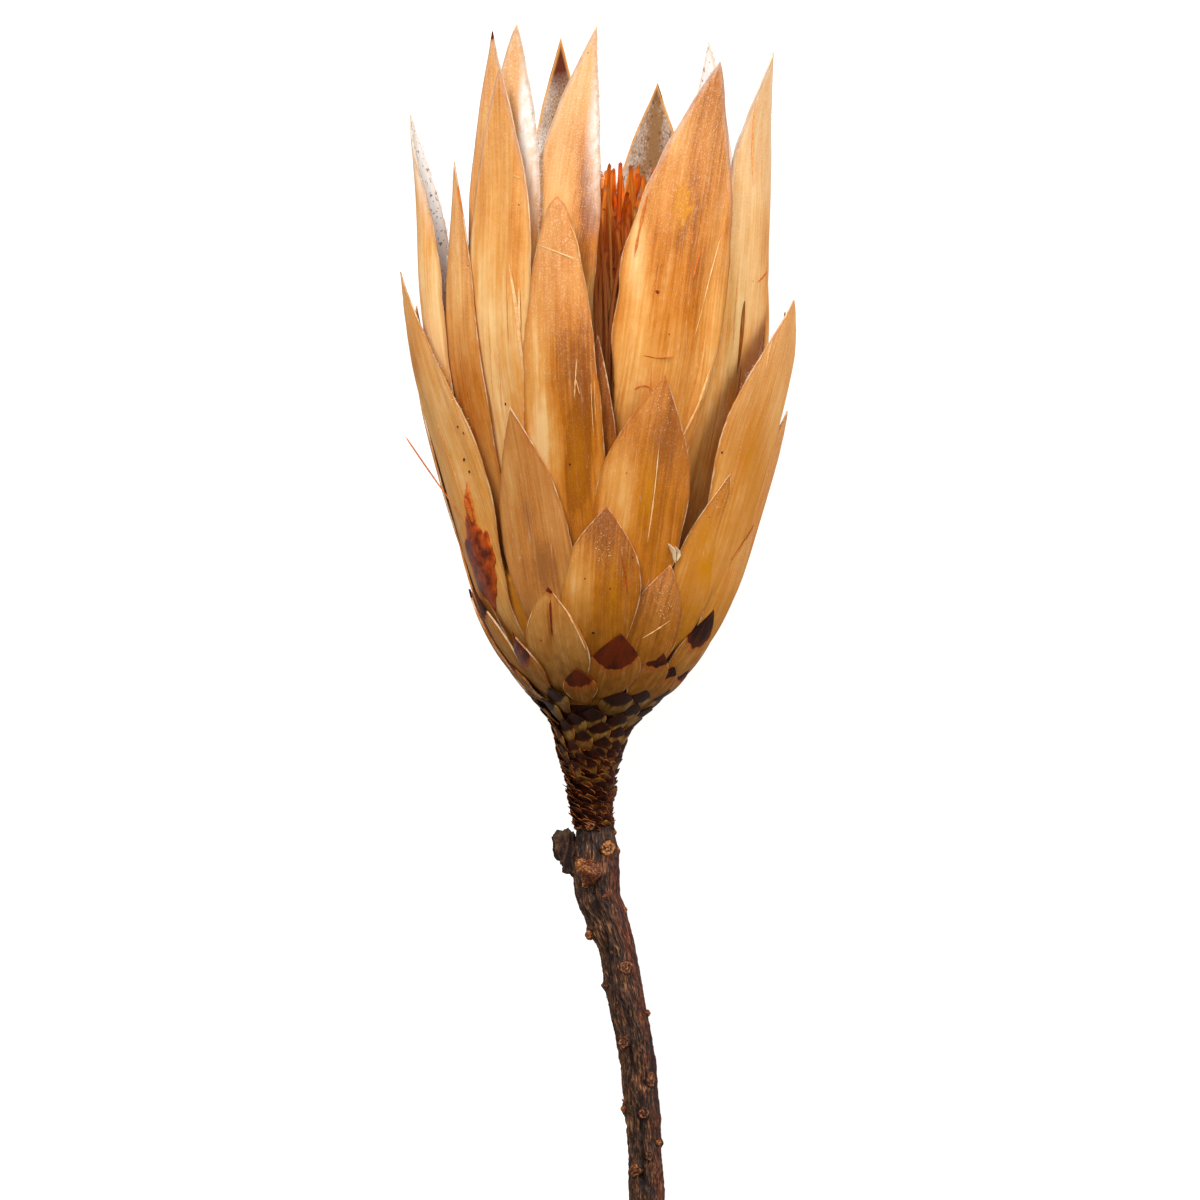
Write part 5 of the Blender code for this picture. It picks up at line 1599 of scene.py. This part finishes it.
class SUGARBUSH_OT_wool(bpy.types.Operator):
    """Build the white woolly hairs along the margins of the upper bracts"""

    bl_idname = "sugarbush.wool"
    bl_label = "Wool"

    def execute(self, context):
        long = context.scene.sugarbush_sizes.hair / MM
        chance = random.Random(SEED + 2)
        shape = bmesh.new()
        layers(shape)
        for name, way, low, high, many in WOOLLY:
            bract = FACING[name]
            for _hair in range(many):
                share = chance.uniform(low, high)
                across = way * (1 - 0.12 * chance.random() ** 2)
                root = bract_point(bract, share, across, seed_of(bract))[0]
                inner = bract_point(bract, share, across * 0.7, seed_of(bract))[0]
                out = (root - inner).normalized()
                tip = root + long * chance.uniform(0.3, 1.2) * Vector((
                    out.x + chance.uniform(-0.6, 0.6), out.y + chance.uniform(-0.6, 0.6),
                    out.z + chance.uniform(-0.5, 1.3),
                ))
                bow = Vector([chance.uniform(least, most) for least, most in HAIR_BOW])
                pour(shape, rod(
                    lambda t: root.lerp(tip, t) + bow * math.sin(math.pi * t),
                    lambda t: HAIR_RADIUS * min(1.0, 4 * t) * (1 - t ** 3), 3, 4, Vector((1, 0, 0)),
                ))
        keep(shape, "margin_wool", "bracts", [white_wool()])
        return {"FINISHED"}


class SUGARBUSH_PT_panel(bpy.types.Panel):
    """The operators and settings in the sidebar"""

    bl_label = "Sugarbush"
    bl_idname = "SUGARBUSH_PT_panel"
    bl_space_type = "VIEW_3D"
    bl_region_type = "UI"
    bl_category = "Sugarbush"

    def draw(self, context):
        for made in OPERATORS:
            self.layout.operator(made.bl_idname)
        for group in (context.scene.sugarbush_sizes, context.scene.sugarbush_colours):
            for name in group.__annotations__:
                self.layout.prop(group, name)


OPERATORS = (
    SUGARBUSH_OT_stage,
    SUGARBUSH_OT_stem,
    SUGARBUSH_OT_scars,
    SUGARBUSH_OT_neck,
    SUGARBUSH_OT_cup,
    SUGARBUSH_OT_bracts,
    SUGARBUSH_OT_florets,
    SUGARBUSH_OT_marks,
    SUGARBUSH_OT_wool,
)
CLASSES = (SugarbushSizes, SugarbushColours, *OPERATORS, SUGARBUSH_PT_panel)


def register():
    for made in CLASSES:
        bpy.utils.register_class(made)
    bpy.types.Scene.sugarbush_sizes = PointerProperty(type=SugarbushSizes)
    bpy.types.Scene.sugarbush_colours = PointerProperty(type=SugarbushColours)


def unregister():
    del bpy.types.Scene.sugarbush_colours
    del bpy.types.Scene.sugarbush_sizes
    for made in reversed(CLASSES):
        bpy.utils.unregister_class(made)


def main():
    register()
    bpy.ops.sugarbush.stage()
    bpy.ops.sugarbush.stem()
    bpy.ops.sugarbush.scars()
    bpy.ops.sugarbush.neck()
    bpy.ops.sugarbush.cup()
    bpy.ops.sugarbush.bracts()
    bpy.ops.sugarbush.florets()
    bpy.ops.sugarbush.marks()
    bpy.ops.sugarbush.wool()


if __name__ == "__main__":
    main()
